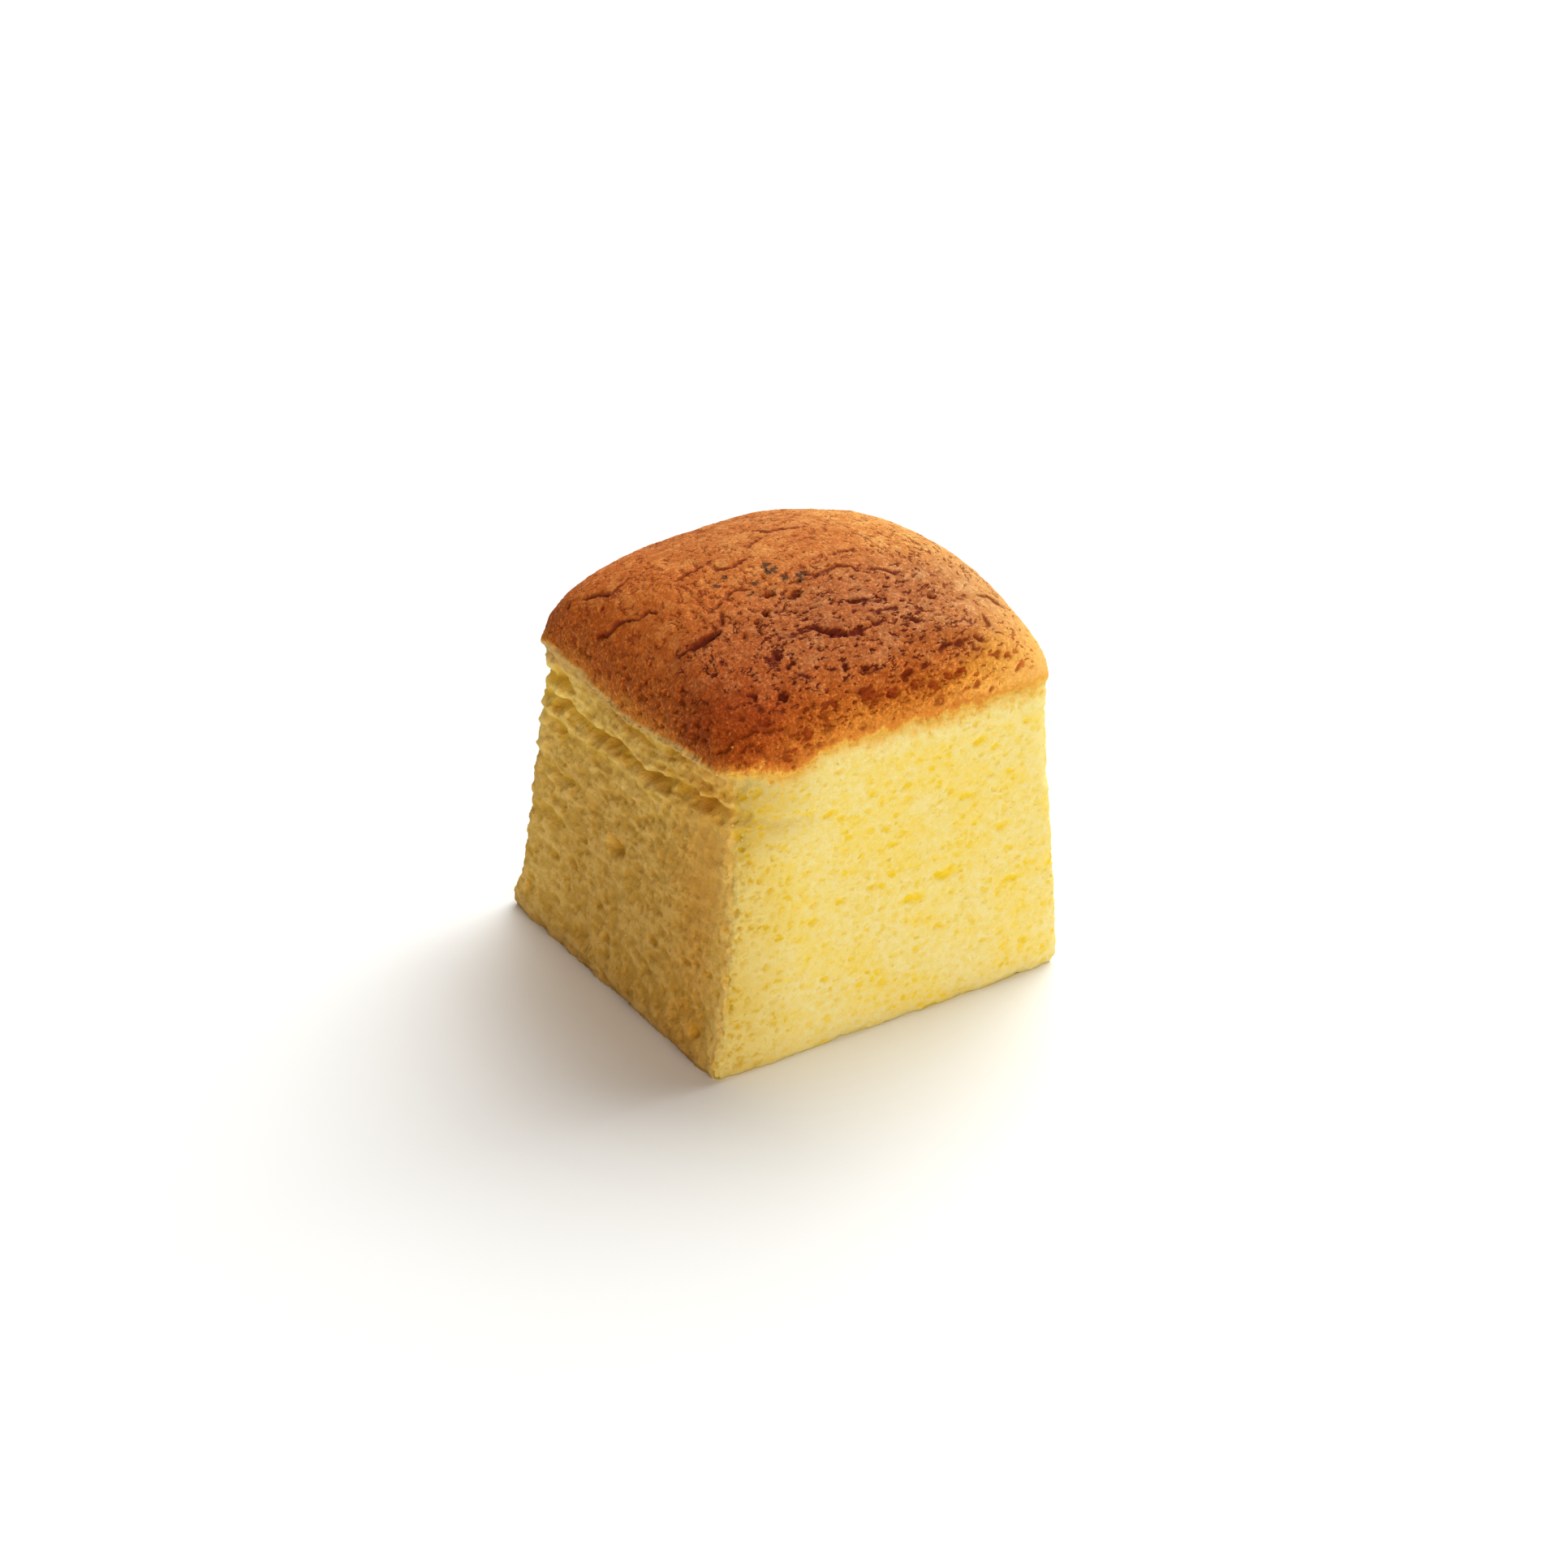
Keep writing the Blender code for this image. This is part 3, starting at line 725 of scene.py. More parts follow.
def pocket_depths(points, out_x, out_y):
    """How deep the walls' pockets go at each point, and how golden it is there."""
    moved = wobbled(points, POCKET_WOBBLE)
    depth = np.zeros(len(points))
    golden = np.zeros(len(points))
    for side, pockets in POCKETS.items():
        along = moved[:, 1] if side in ("left", "right") else moved[:, 0]
        for pocket in pockets:
            beside = (along - pocket.along) / pocket.length
            above = (moved[:, 2] - pocket.z) / pocket.height
            inside = 1.0 - smoothstep(*POCKET_SIDE, np.hypot(beside, above) * 2)
            inside = inside * facing(side, out_x, out_y)
            depth = np.maximum(depth, inside * pocket.depth)
            golden = np.maximum(golden, inside * pocket.golden)
    return depth, golden


def tan_shares(points, out_x, out_y):
    """How much of the smooth tan skin each point is."""
    _, y, z = wobbled(points, TAN_WOBBLE).T
    along = smoothstep(*TAN_START_Y, y) * (1.0 - smoothstep(*TAN_END_Y, y))
    up = smoothstep(*TAN_START_Z, z) * (1.0 - smoothstep(*TAN_END_Z, z))
    return facing("left", out_x, out_y) * along * up


class Field:
    """One output of a node. Sums and products of fields add the nodes that work them out."""

    def __init__(self, nodes, socket):
        self.nodes = nodes
        self.socket = socket

    def output(self, name):
        """Another output of the same node."""
        return Field(self.nodes, self.socket.node.outputs[name])

    def with_other(self, operation, first, second):
        """A sum or product, worked out as vectors where one of the two is a vector or a colour."""
        if any(isinstance(v, tuple) or (isinstance(v, Field) and v.is_vector()) for v in (first, second)):
            return self.nodes.vector_maths(operation, first, second)
        return self.nodes.maths(operation, first, second)

    def is_vector(self):
        return self.socket.type in ("VECTOR", "RGBA")

    def __add__(self, other):
        return self.with_other("ADD", self, other)

    def __radd__(self, other):
        return self.with_other("ADD", other, self)

    def __sub__(self, other):
        return self.with_other("SUBTRACT", self, other)

    def __rsub__(self, other):
        return self.with_other("SUBTRACT", other, self)

    def __mul__(self, other):
        return self.with_other("MULTIPLY", self, other)

    def __rmul__(self, other):
        return self.with_other("MULTIPLY", other, self)

    def __truediv__(self, other):
        return self.with_other("DIVIDE", self, other)


WHITE = (1.0, 1.0, 1.0)


class Nodes:
    """A node tree that is written as Python expressions."""

    def __init__(self, tree):
        self.tree = tree

    def node(self, kind, settings=None, inputs=None, output=0):
        """A new node: its settings first, then the values or links of its sockets."""
        made = self.tree.nodes.new(kind)
        for name, value in (settings or {}).items():
            setattr(made, name, value)
        for name, value in (inputs or {}).items():
            self.feed(made.inputs[name], value)
        return Field(self, made.outputs[output])

    def feed(self, socket, value):
        """Links a field to a socket, or sets the socket's own value."""
        if isinstance(value, Field):
            self.tree.links.new(value.socket, socket)
        elif socket.type == "RGBA" and len(value) == 3:
            socket.default_value = (*value, 1.0)
        elif socket.type == "VECTOR" and isinstance(value, (int, float)):
            socket.default_value = (value, value, value)
        else:
            socket.default_value = value

    def maths(self, operation, first, second=0.0):
        return self.node("ShaderNodeMath", {"operation": operation}, {0: first, 1: second})

    def vector_maths(self, operation, first, second):
        return self.node("ShaderNodeVectorMath", {"operation": operation}, {0: first, 1: second})

    def at_least(self, value, least):
        return self.maths("MAXIMUM", value, least)

    def at_most(self, value, most):
        return self.maths("MINIMUM", value, most)

    def clamped(self, value):
        return self.node("ShaderNodeClamp", None, {"Value": value})

    def split(self, vector):
        """The three numbers of a vector or a colour."""
        made = self.node("ShaderNodeSeparateXYZ", None, {0: vector})
        return [made.output(k) for k in range(3)]

    def joined(self, x, y, z):
        return self.node("ShaderNodeCombineXYZ", None, {0: x, 1: y, 2: z})

    def smooth(self, value, start, end):
        """Zero at start, one at end, and a soft climb between them. Start may be the higher one."""
        inputs = {"Value": value, "From Min": start, "From Max": end}
        return self.node("ShaderNodeMapRange", {"interpolation_type": "SMOOTHSTEP"}, inputs)

    def noise(self, place, size, detail=2.0, seed=0.0, roughness=0.5):
        """Soft noise round 0.5, with blotches about size across in the units of place."""
        inputs = {"Vector": place, "W": seed, "Scale": 1.0 / size, "Detail": detail, "Roughness": roughness}
        return self.node("ShaderNodeTexNoise", {"noise_dimensions": "4D"}, inputs)

    def noise_vector(self, place, size, detail=2.0, seed=0.0):
        """Soft noise on all three axes, from about -0.5 to 0.5."""
        return self.noise(place, size, detail, seed).output("Color") - (0.5, 0.5, 0.5)

    def pits(self, place, spacing, reach, least=0.0):
        """Soft round pits, from 0 outside to 1 in the middle. Each has a depth of its own, at least least."""
        cell = self.node("ShaderNodeTexVoronoi", None, {"Vector": place, "Scale": 1.0 / spacing})
        chance = self.split(cell.output("Color"))[0]
        return self.smooth(cell, reach, 0.0) * (least + chance * (1.0 - least))

    def lines(self, place, size, width, seed):
        """Thin winding lines, from 0 beside them to 1 on them."""
        away = self.maths("ABSOLUTE", self.noise(place, size, 4.0, seed, 0.55) - 0.5)
        return self.smooth(away, width, 0.3 * width)

    def mix(self, share, first, second):
        """From the first number to the second."""
        return self.node("ShaderNodeMix", {"data_type": "FLOAT"}, {0: share, 2: first, 3: second})

    def blend(self, share, first, second):
        """From the first vector to the second."""
        return self.node("ShaderNodeMix", {"data_type": "VECTOR"}, {0: share, 4: first, 5: second}, 1)

    def tint(self, share, first, second):
        """From the first colour to the second."""
        return self.node("ShaderNodeMix", {"data_type": "RGBA"}, {0: share, 6: first, 7: second}, 2)

    def toned(self, share, colour, factor):
        """A colour whose red, green and blue are multiplied by a factor of their own where share is 1."""
        return colour * self.blend(share, WHITE, factor)


class MeshTree(Nodes):
    """A Geometry Nodes tree that presses a pattern into a mesh, or grows things on it."""

    def __init__(self, name, sizes):
        super().__init__(bpy.data.node_groups.new(name, "GeometryNodeTree"))
        self.sockets = {}
        self.input("Geometry", "NodeSocketGeometry")
        self.tree.interface.new_socket("Geometry", in_out="OUTPUT", socket_type="NodeSocketGeometry")
        for label in sizes:
            self.input(label, "NodeSocketFloat")
        self.input("Material", "NodeSocketMaterial")
        self.entry = self.tree.nodes.new("NodeGroupInput")
        self.exit = self.tree.nodes.new("NodeGroupOutput")

    def input(self, label, kind):
        socket = self.tree.interface.new_socket(label, in_out="INPUT", socket_type=kind)
        self.sockets[label] = socket.identifier

    def given(self, label):
        """One of the tree's own inputs."""
        return Field(self, self.entry.outputs[label])

    def place(self):
        """Where a point is, in millimetres."""
        return self.node("GeometryNodeInputPosition") / MM

    def named(self, label, kind="FLOAT"):
        """A value that the mesh holds at its points."""
        return self.node("GeometryNodeInputNamedAttribute", {"data_type": kind}, {"Name": label})

    def with_rest(self, geometry):
        """The mesh, whose points remember in millimetres where they are now."""
        inputs = {"Geometry": geometry, "Name": "rest", "Value": self.place()}
        return self.node("GeometryNodeStoreNamedAttribute", {"data_type": "FLOAT_VECTOR"}, inputs)

    def lifted(self, geometry, height, direction=None):
        """The mesh with its points moved by a height in millimetres, outward unless told otherwise."""
        way = direction or self.node("GeometryNodeInputNormal")
        inputs = {"Geometry": geometry, "Offset": way * (height * MM)}
        return self.node("GeometryNodeSetPosition", None, inputs)

    def scattered(self, surface, density, item, least, most, seed):
        """Copies of an item on a surface, so many on a square millimetre, turned and sized by chance."""
        inputs = {"Mesh": surface, "Density": density / MM**2, "Seed": seed}
        spots = self.node("GeometryNodeDistributePointsOnFaces", None, inputs)
        turn = self.chance("FLOAT_VECTOR", 0, (0.0, 0.0, 0.0), (math.tau, math.tau, math.tau), seed)
        size = self.chance("FLOAT", 2, least, most, seed + 1)
        inputs = {"Points": spots, "Instance": item, "Rotation": turn, "Scale": size}
        return self.node("GeometryNodeInstanceOnPoints", None, inputs)

    def chance(self, kind, first_input, least, most, seed):
        """A random value for each point, between two bounds."""
        inputs = {first_input: least, first_input + 1: most, 8: seed}
        return self.node("FunctionNodeRandomValue", {"data_type": kind}, inputs, first_input // 2)

    def finish_strewn(self, bits, size, seed, reach):
        """Ends the tree in scattered bits, each bent out of shape by up to about half of reach."""
        real = self.node("GeometryNodeRealizeInstances", None, {"Geometry": bits})
        shift = self.noise_vector(self.place(), size, 2.0, seed) * (reach * MM)
        self.finish(self.node("GeometryNodeSetPosition", None, {"Geometry": real, "Offset": shift}))

    def finish(self, geometry):
        """Ends the tree in real meshes inside the solid's box, which wear the material."""
        real = self.node("GeometryNodeRealizeInstances", None, {"Geometry": geometry})
        low, high = CAD_BOX
        inside = self.vector_maths("MINIMUM", self.node("GeometryNodeInputPosition"), tuple(high))
        inside = self.vector_maths("MAXIMUM", inside, tuple(low))
        boxed = self.node("GeometryNodeSetPosition", None, {"Geometry": real, "Position": inside})
        inputs = {"Geometry": boxed, "Material": self.given("Material")}
        worn = self.node("GeometryNodeSetMaterial", None, inputs)
        self.tree.links.new(worn.socket, self.exit.inputs[0])


def applied(obj, relief, sizes, material):
    """Runs a tree on an object and leaves the plain mesh that comes out."""
    modifier = obj.modifiers.new(relief.tree.name, "NODES")
    modifier.node_group = relief.tree
    for label, value in {**sizes, "Material": material}.items():
        modifier[relief.sockets[label]] = value
    bpy.context.view_layer.update()
    evaluated = obj.evaluated_get(bpy.context.evaluated_depsgraph_get())
    mesh = bpy.data.meshes.new_from_object(evaluated)
    obj.modifiers.remove(modifier)
    before = obj.data
    obj.data = mesh
    bpy.data.meshes.remove(before)
    mesh.name = obj.name
    return obj


def placed(name, mesh):
    """A new object at the origin."""
    obj = bpy.data.objects.new(name, mesh)
    bpy.context.scene.collection.objects.link(obj)
    return obj


def fastened(piece):
    """Fastens a finished piece to the cake's root body."""
    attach(piece, "root")


# Where along X the near edge starts to look different, and where it does so fully: rougher, with painted
# shade on its front side and painted light on its left side.
NEAR_EDGE = (-13.0, -27.0)

# The sizes that the relief of the crumb and of the crust ask for.
CRUMB_SIZES = ("Pore depth", "Wrinkle depth", "Edge roughness")
CRUST_SIZES = ("Crack depth", "Hollow depth", "Pinhole depth", "Grain")


def in_millimetres(settings, labels):
    """The settings of those names, in millimetres."""
    return {label: getattr(settings, label.lower().replace(" ", "_")) / MM for label in labels}


# How squarely a point that is fully on a wall faces it, where the browning fades near a corner, and by how
# much of it.
FULLY_FACING = 0.98
BROWNING_FADE = (20.5, 28.5)
BROWNING_LOSS = 0.8


def browned_sides(nodes, place, outward, start=0.68):
    """How much a place is on the left wall, and on a wall that the tin browned, the left or the back. The
    browning fades beside the front and beside the right wall. Start is how squarely a point has to face a
    wall before it counts."""
    x, y, _ = nodes.split(place)
    face_x, face_y, _ = nodes.split(outward)
    ragged = (nodes.noise(place, 2.6, 4.0, 31.0, 0.65) - 0.5) * 9.0
    left = nodes.smooth(face_x, -start, -FULLY_FACING)
    back = nodes.smooth(face_y, start, FULLY_FACING)
    fade_start, fade_end = BROWNING_FADE
    by_front = nodes.smooth(y + ragged, -fade_start, -fade_end) * BROWNING_LOSS
    by_right = nodes.smooth(x + ragged, fade_start, fade_end) * BROWNING_LOSS
    return left, nodes.at_least(left * (1.0 - by_front), back * (1.0 - by_right))


# Rows of the sponge's mesh, and where it hides under the crust.
SPONGE_PER_SIDE = 156
SPONGE_ROWS = 143
SPONGE_HIDDEN_RISE = 2.4
SPONGE_HIDDEN_INSET = 0.75
SPONGE_HIDDEN_START = 1.2
UNDERSIDE_STEPS = 13
UNDERSIDE_SHARE = 0.965
CAP_STEPS = 5
CAP_SHARE = 0.9

# The sponge's map: four walls in the upper part, and the underside and the hidden top below them.
MAP_GAP = 0.004
WALL_MAP = [(0.0, 0.2), (0.5, 0.2), (0.0, 0.6), (0.5, 0.6)]
WALL_MAP_WIDTH = 0.5 - 2 * MAP_GAP
WALL_MAP_HEIGHT = 0.4 - 2 * MAP_GAP
WALL_CHART = band_chart([(u + MAP_GAP, v + MAP_GAP) for u, v in WALL_MAP], WALL_MAP_WIDTH, WALL_MAP_HEIGHT)
UNDERSIDE_CHART = square_chart((MAP_GAP, MAP_GAP), 0.2 - 2 * MAP_GAP)
CAP_CHART = square_chart((0.85 + MAP_GAP, MAP_GAP), 0.15 - 2 * MAP_GAP)


def sponge_skin():
    """The sponge's smooth closed skin, with its top hidden inside the crust."""
    skin = Skin()
    top = CRUST_HEIGHT + SPONGE_HIDDEN_RISE
    levels = np.linspace(0.0, top, SPONGE_ROWS)
    insets = SPONGE_HIDDEN_INSET * smoothstep(CRUST_HEIGHT - SPONGE_HIDDEN_START, top, levels)
    rows = [skin.add(wall_ring(level, SPONGE_PER_SIDE, inset)) for level, inset in zip(levels, insets)]
    for lower, upper in zip(rows, rows[1:]):
        reaches = (levels[lower] / top, levels[upper] / top)
        skin.bridge(lower, upper, WALL_CHART, reaches)
    close_flat(skin, rows[-1], float(skin.rings[rows[-1]].z.max()), CAP_STEPS, CAP_SHARE, CAP_CHART, False)
    close_flat(skin, rows[0], 0.0, UNDERSIDE_STEPS, UNDERSIDE_SHARE, UNDERSIDE_CHART, True)
    return skin


def crumb_pattern(nodes, place, wrinkled):
    """The crumb's pattern at a place: how far inside a pore it is, and how high on a soft ridge."""
    x, y, z = nodes.split(place)
    warp = nodes.noise_vector(place, 2.4, 2.0, 1.0)
    torn = nodes.noise_vector(place, 0.8, 2.0, 11.0) * 1.2
    crumb = nodes.joined(x * 0.8, y * 0.8, z * 1.05) + warp * 1.4 + torn
    pores = nodes.pits(crumb, 1.5, 0.52, 0.35) + nodes.pits(crumb + (7.3, 1.9, 4.4), 0.92, 0.5, 0.2) * 0.75
    skin = nodes.joined(x * 0.5, y * 0.5, z) + warp * 1.7 + torn * 0.5
    dents = nodes.pits(skin, 1.35, 0.7, 0.25) + nodes.pits(skin + (3.1, 8.2, 5.7), 0.8, 0.5, 0.0) * 0.5
    ridges = nodes.noise(skin, 1.5, 2.0, 2.0) - 0.5
    return nodes.at_most(nodes.mix(wrinkled, pores, dents), 1.0), ridges


def ragged_line(nodes, place, climb, toasted):
    """How far above the ragged line, where the crumb turns brown, a place is."""
    ragged = (nodes.noise(place, 2.4, 4.0, 9.0, 0.62) - 0.5) * 4.5
    fringe = (nodes.noise(place * (1.0, 1.0, 0.6), 0.7, 3.0, 3.0, 0.6) - 0.5) * 2.6
    grains = (nodes.noise(place, 0.32, 2.0, 17.0, 0.6) - 0.5) * 1.5
    return climb + (ragged + fringe + grains) * nodes.mix(toasted, 1.0, 0.36)


def crumb_height(tree, place, left, wrinkled):
    """How high the crumb's surface stands over the smooth skin, in millimetres. Its fine marks are weaker on
    the tan skin, in the folds and along the far left edge."""
    x, y, z = tree.split(place)
    climb = tree.named("climb")
    edge = tree.named("edge")
    bare = 1.0 - tree.named("tan") * 0.5
    flat = 1.0 - tree.named("crease") * 0.75
    far_edge = tree.smooth(y, 17.0, 26.0) * tree.smooth(x, -22.0, -27.0)
    quiet = bare * flat * (1.0 - far_edge * 0.6)
    pores, ridges = crumb_pattern(tree, place, wrinkled)
    lumps = tree.noise(tree.joined(x * 0.25, y * 0.25, z + y * 0.1), 1.5, 2.0, 3.0) - 0.5
    tatters = tree.noise(tree.joined(x * 0.8, y * 0.8, z), 1.1, 2.0, 13.0) - 0.5
    grit = tree.noise(tree.joined(x * 0.8, y * 0.8, z), 0.75, 2.0, 15.0, 0.6) - 0.5
    folded = tree.smooth(z, 20.0, 28.0) * wrinkled * bare
    by_edge = tree.smooth(x, *NEAR_EDGE)
    pressed = pores * quiet * tree.given("Pore depth") * tree.mix(wrinkled, 0.36 + by_edge * 0.44, 0.8)
    waves = tree.noise(place, 5.5, 1.0, 4.0) - 0.5
    height = ridges * tree.given("Wrinkle depth") * tree.mix(wrinkled, 0.15, 1.0) * bare * flat
    height = height + (lumps + tatters * 0.8) * folded * flat + waves * tree.mix(wrinkled, 0.3, 0.55)
    height = height + grit * quiet * tree.mix(wrinkled, 0.25 + by_edge * 0.4, 0.7)
    chips = tree.smooth(tree.noise(place, 1.7, 3.0, 5.0), 0.38, 0.66)
    chips = chips + tree.noise(place, 0.75, 2.0, 6.0) * 0.7
    height = height - chips * edge * tree.given("Edge roughness")
    papery = tree.smooth(climb, -4.4, -2.6) * left
    fibres = (tree.noise(place * (1.0, 1.9, 0.45), 0.9, 2.0, 7.0) - 0.5) * papery * 1.1
    return height + fibres - pressed


# How far the relief is sunk into the smooth skin, so that it stays inside the solid's box.
CRUMB_SINK = 0.08
CRUST_SINK = 0.12


def sponge_relief():
    """Presses pores, wrinkles and crumbly edges into the sponge."""
    tree = MeshTree("Sponge pores", CRUMB_SIZES)
    place = tree.place()
    _, _, z = tree.split(place)
    outward = tree.named("outward", "FLOAT_VECTOR")
    left, wrinkled = browned_sides(tree, place, outward, 0.3)
    foot = tree.smooth(z, 3.4, 0.6)
    uneven = (tree.noise(place, 3.0, 3.0, 9.0) - 0.72) * foot * 1.6
    total = crumb_height(tree, place, left, wrinkled) + uneven - tree.named("dent") - CRUMB_SINK
    total = tree.at_most(total, tree.mix(tree.smooth(z, 17.0, 26.0), -CRUMB_SINK, 0.6))
    upright = tree.blend(tree.smooth(z, 2.6, 1.2), tree.node("GeometryNodeInputNormal"), outward)
    on_wall = tree.smooth(tree.named("wall"), 0.2, 0.8)
    geometry = tree.with_rest(tree.given("Geometry"))
    tree.finish(tree.lifted(geometry, total * on_wall, upright))
    return tree


# Rings of the crust's mesh, and the edge that runs down into the sponge.
CRUST_STEPS = 136
CRUST_SKIRT = 2.2
CRUST_SKIRT_ROWS = 10
CRUST_SKIRT_INSET = 1.1
CRUST_SKIRT_TURN = 0.9
CRUST_PROUD = 0.04
CRUST_LIP = 0.05
CRUST_LIP_PLACE = 0.55
CRUST_LIP_WIDTH = 0.6
CROWN_SCALE = 1e-3
CRUST_CHART = square_chart((MAP_GAP, MAP_GAP), 0.93)
HIDDEN_CHART = square_chart((0.94, 0.94), 0.055)


def crust_skin():
    """The crust's smooth closed skin: the dome, and an edge that runs down into the sponge."""
    skin = Skin()
    count = CRUST_STEPS
    scales, climbs = dome_scales(count)
    skirt = np.linspace(0.0, -CRUST_SKIRT, CRUST_SKIRT_ROWS + 1)[1:]
    reach = count + CRUST_SKIRT_ROWS
    flat = dome_ring(CROWN_SCALE, float(climbs[0]), 2)
    rows = [skin.add(flat_ring(flat, 0.0, float(flat.z[0]), 0)._replace(wall=np.ones(1)))]
    for k, (scale, climb) in enumerate(zip(scales, climbs)):
        rows.append(skin.add(dome_ring(scale, climb, 2 * k + 2)))
    for k in range(count, 0, -1):
        skin.narrow(rows[k], rows[k - 1], CRUST_CHART, (k / reach, (k - 1) / reach))
    for k, drop in enumerate(skirt):
        inset = CRUST_SKIRT_INSET * smoothstep(-CRUST_SKIRT_TURN, -CRUST_SKIRT, drop) - CRUST_PROUD
        lip = CRUST_LIP * hill(drop + CRUST_LIP_PLACE, CRUST_LIP_WIDTH)
        rows.append(skin.add(wall_ring(CRUST_HEIGHT + drop, 2 * count, inset, lip)))
        skin.bridge(rows[-1], rows[-2], CRUST_CHART, ((count + k + 1) / reach, (count + k) / reach))
    bottom = float(skin.rings[rows[-1]].z.min())
    close_flat(skin, rows[-1], bottom, CAP_STEPS, CAP_SHARE, HIDDEN_CHART, True)
    return skin


def crust_pattern(nodes, place, climb):
    """The crust's pattern at a place: how far it is inside a crack, in a torn hollow, and in a pinhole.
    Cracks and pinholes are long in the direction of the nearest side."""
    x, y, _ = nodes.split(place)
    warp = nodes.noise_vector(place, 1.3, 3.0, 2.0)
    twisted = place + warp * 0.9
    sideways = nodes.smooth(nodes.maths("ABSOLUTE", x) - nodes.maths("ABSOLUTE", y), -5.0, 5.0)
    crack = 0.0
    speck = 0.0
    for share, stretch in ((1.0 - sideways, (0.5, 1.0, 1.0)), (sideways, (1.0, 0.5, 1.0))):
        long = twisted * stretch
        broken = nodes.smooth(nodes.noise(long, 1.5, 2.0, 5.0), 0.5, 0.6)
        crack = crack + nodes.lines(long, 2.0, 0.027, 4.0) * broken * share
        speck = speck + nodes.noise(long, 0.55, 2.0, 7.0, 0.55) * share
    crack = crack * nodes.smooth(climb, 4.0, 10.0)
    pinhole = nodes.smooth(speck, 0.44, 0.345) * nodes.smooth(climb, 0.5, 5.0)
    pinhole = pinhole * nodes.smooth(x, -32.0, -12.0)
    torn = nodes.noise(place * (0.75, 0.75, 1.2) + warp * 0.7, 1.5, 3.0, 6.0, 0.6)
    hollow = nodes.smooth(torn, 0.5, 0.37) * nodes.smooth(climb, 11.0, 5.0)
    hollow = hollow * (1.0 - nodes.smooth(x, 6.0, 20.0) * 0.65)
    return crack, hollow, pinhole


def crust_relief():
    """Presses grain, cracks, hollows and pinholes into the crust. Its ragged edge goes over into crumb."""
    tree = MeshTree("Crust grain", CRUST_SIZES + CRUMB_SIZES)
    place = tree.place()
    x, y, _ = tree.split(place)
    climb = tree.named("climb")
    left, wrinkled = browned_sides(tree, place, tree.named("outward", "FLOAT_VECTOR"), 0.3)
    crack, hollow, pinhole = crust_pattern(tree, place, climb)
    grain = tree.noise(place, 0.55, 3.0, 1.0, 0.65) - 0.5
    lumps = tree.noise(place, 1.8, 2.0, 3.0) - 0.5
    swells = tree.noise(place, 7.0, 1.0, 4.0) - 0.5
    height = grain * tree.given("Grain") + lumps * 0.4 + swells * 0.4
    depth = crack * tree.given("Crack depth") + hollow * tree.given("Hollow depth")
    calm = tree.at_least(tree.smooth(y, -14.0, 2.0), tree.smooth(x, 6.0, 22.0))
    depth = (depth + pinhole * tree.given("Pinhole depth")) * (1.0 - calm * 0.55)
    crusty = height - depth - tree.named("dent") - CRUST_SINK - tree.smooth(climb, 15.0, 24.0) * 0.25
    line = ragged_line(tree, place, climb, wrinkled)
    crumbly = crumb_height(tree, place, left, wrinkled) - CRUMB_SINK
    total = tree.mix(tree.smooth(line, 0.0, 2.6), crumbly, crusty)
    total = total + tree.mix(tree.smooth(line, -1.6, 0.2), -0.4, 0.0)
    geometry = tree.with_rest(tree.given("Geometry"))
    tree.finish(tree.lifted(geometry, total))
    return tree


def new_material(name):
    """A material with only its surface shader, as (material, nodes, shader)."""
    material = bpy.data.materials.new(name)
    material.use_nodes = True
    nodes = Nodes(material.node_tree)
    shader = material.node_tree.nodes["Principled BSDF"]
    return material, nodes, shader


def held(nodes, label):
    """A number that the mesh holds at its points."""
    return nodes.node("ShaderNodeAttribute", {"attribute_name": label}, None, "Fac")


def held_vector(nodes, label):
    """A vector that the mesh holds at its points."""
    return nodes.node("ShaderNodeAttribute", {"attribute_name": label}, None, "Vector")


def bumped(nodes, height, distance, strength=1.0, normal=None):
    """A normal bent by a height from 0 to 1, which stands for distance in millimetres."""
    inputs = {"Strength": strength, "Distance": distance * MM, "Height": height}
    if normal is not None:
        inputs["Normal"] = normal
    return nodes.node("ShaderNodeBump", None, inputs)


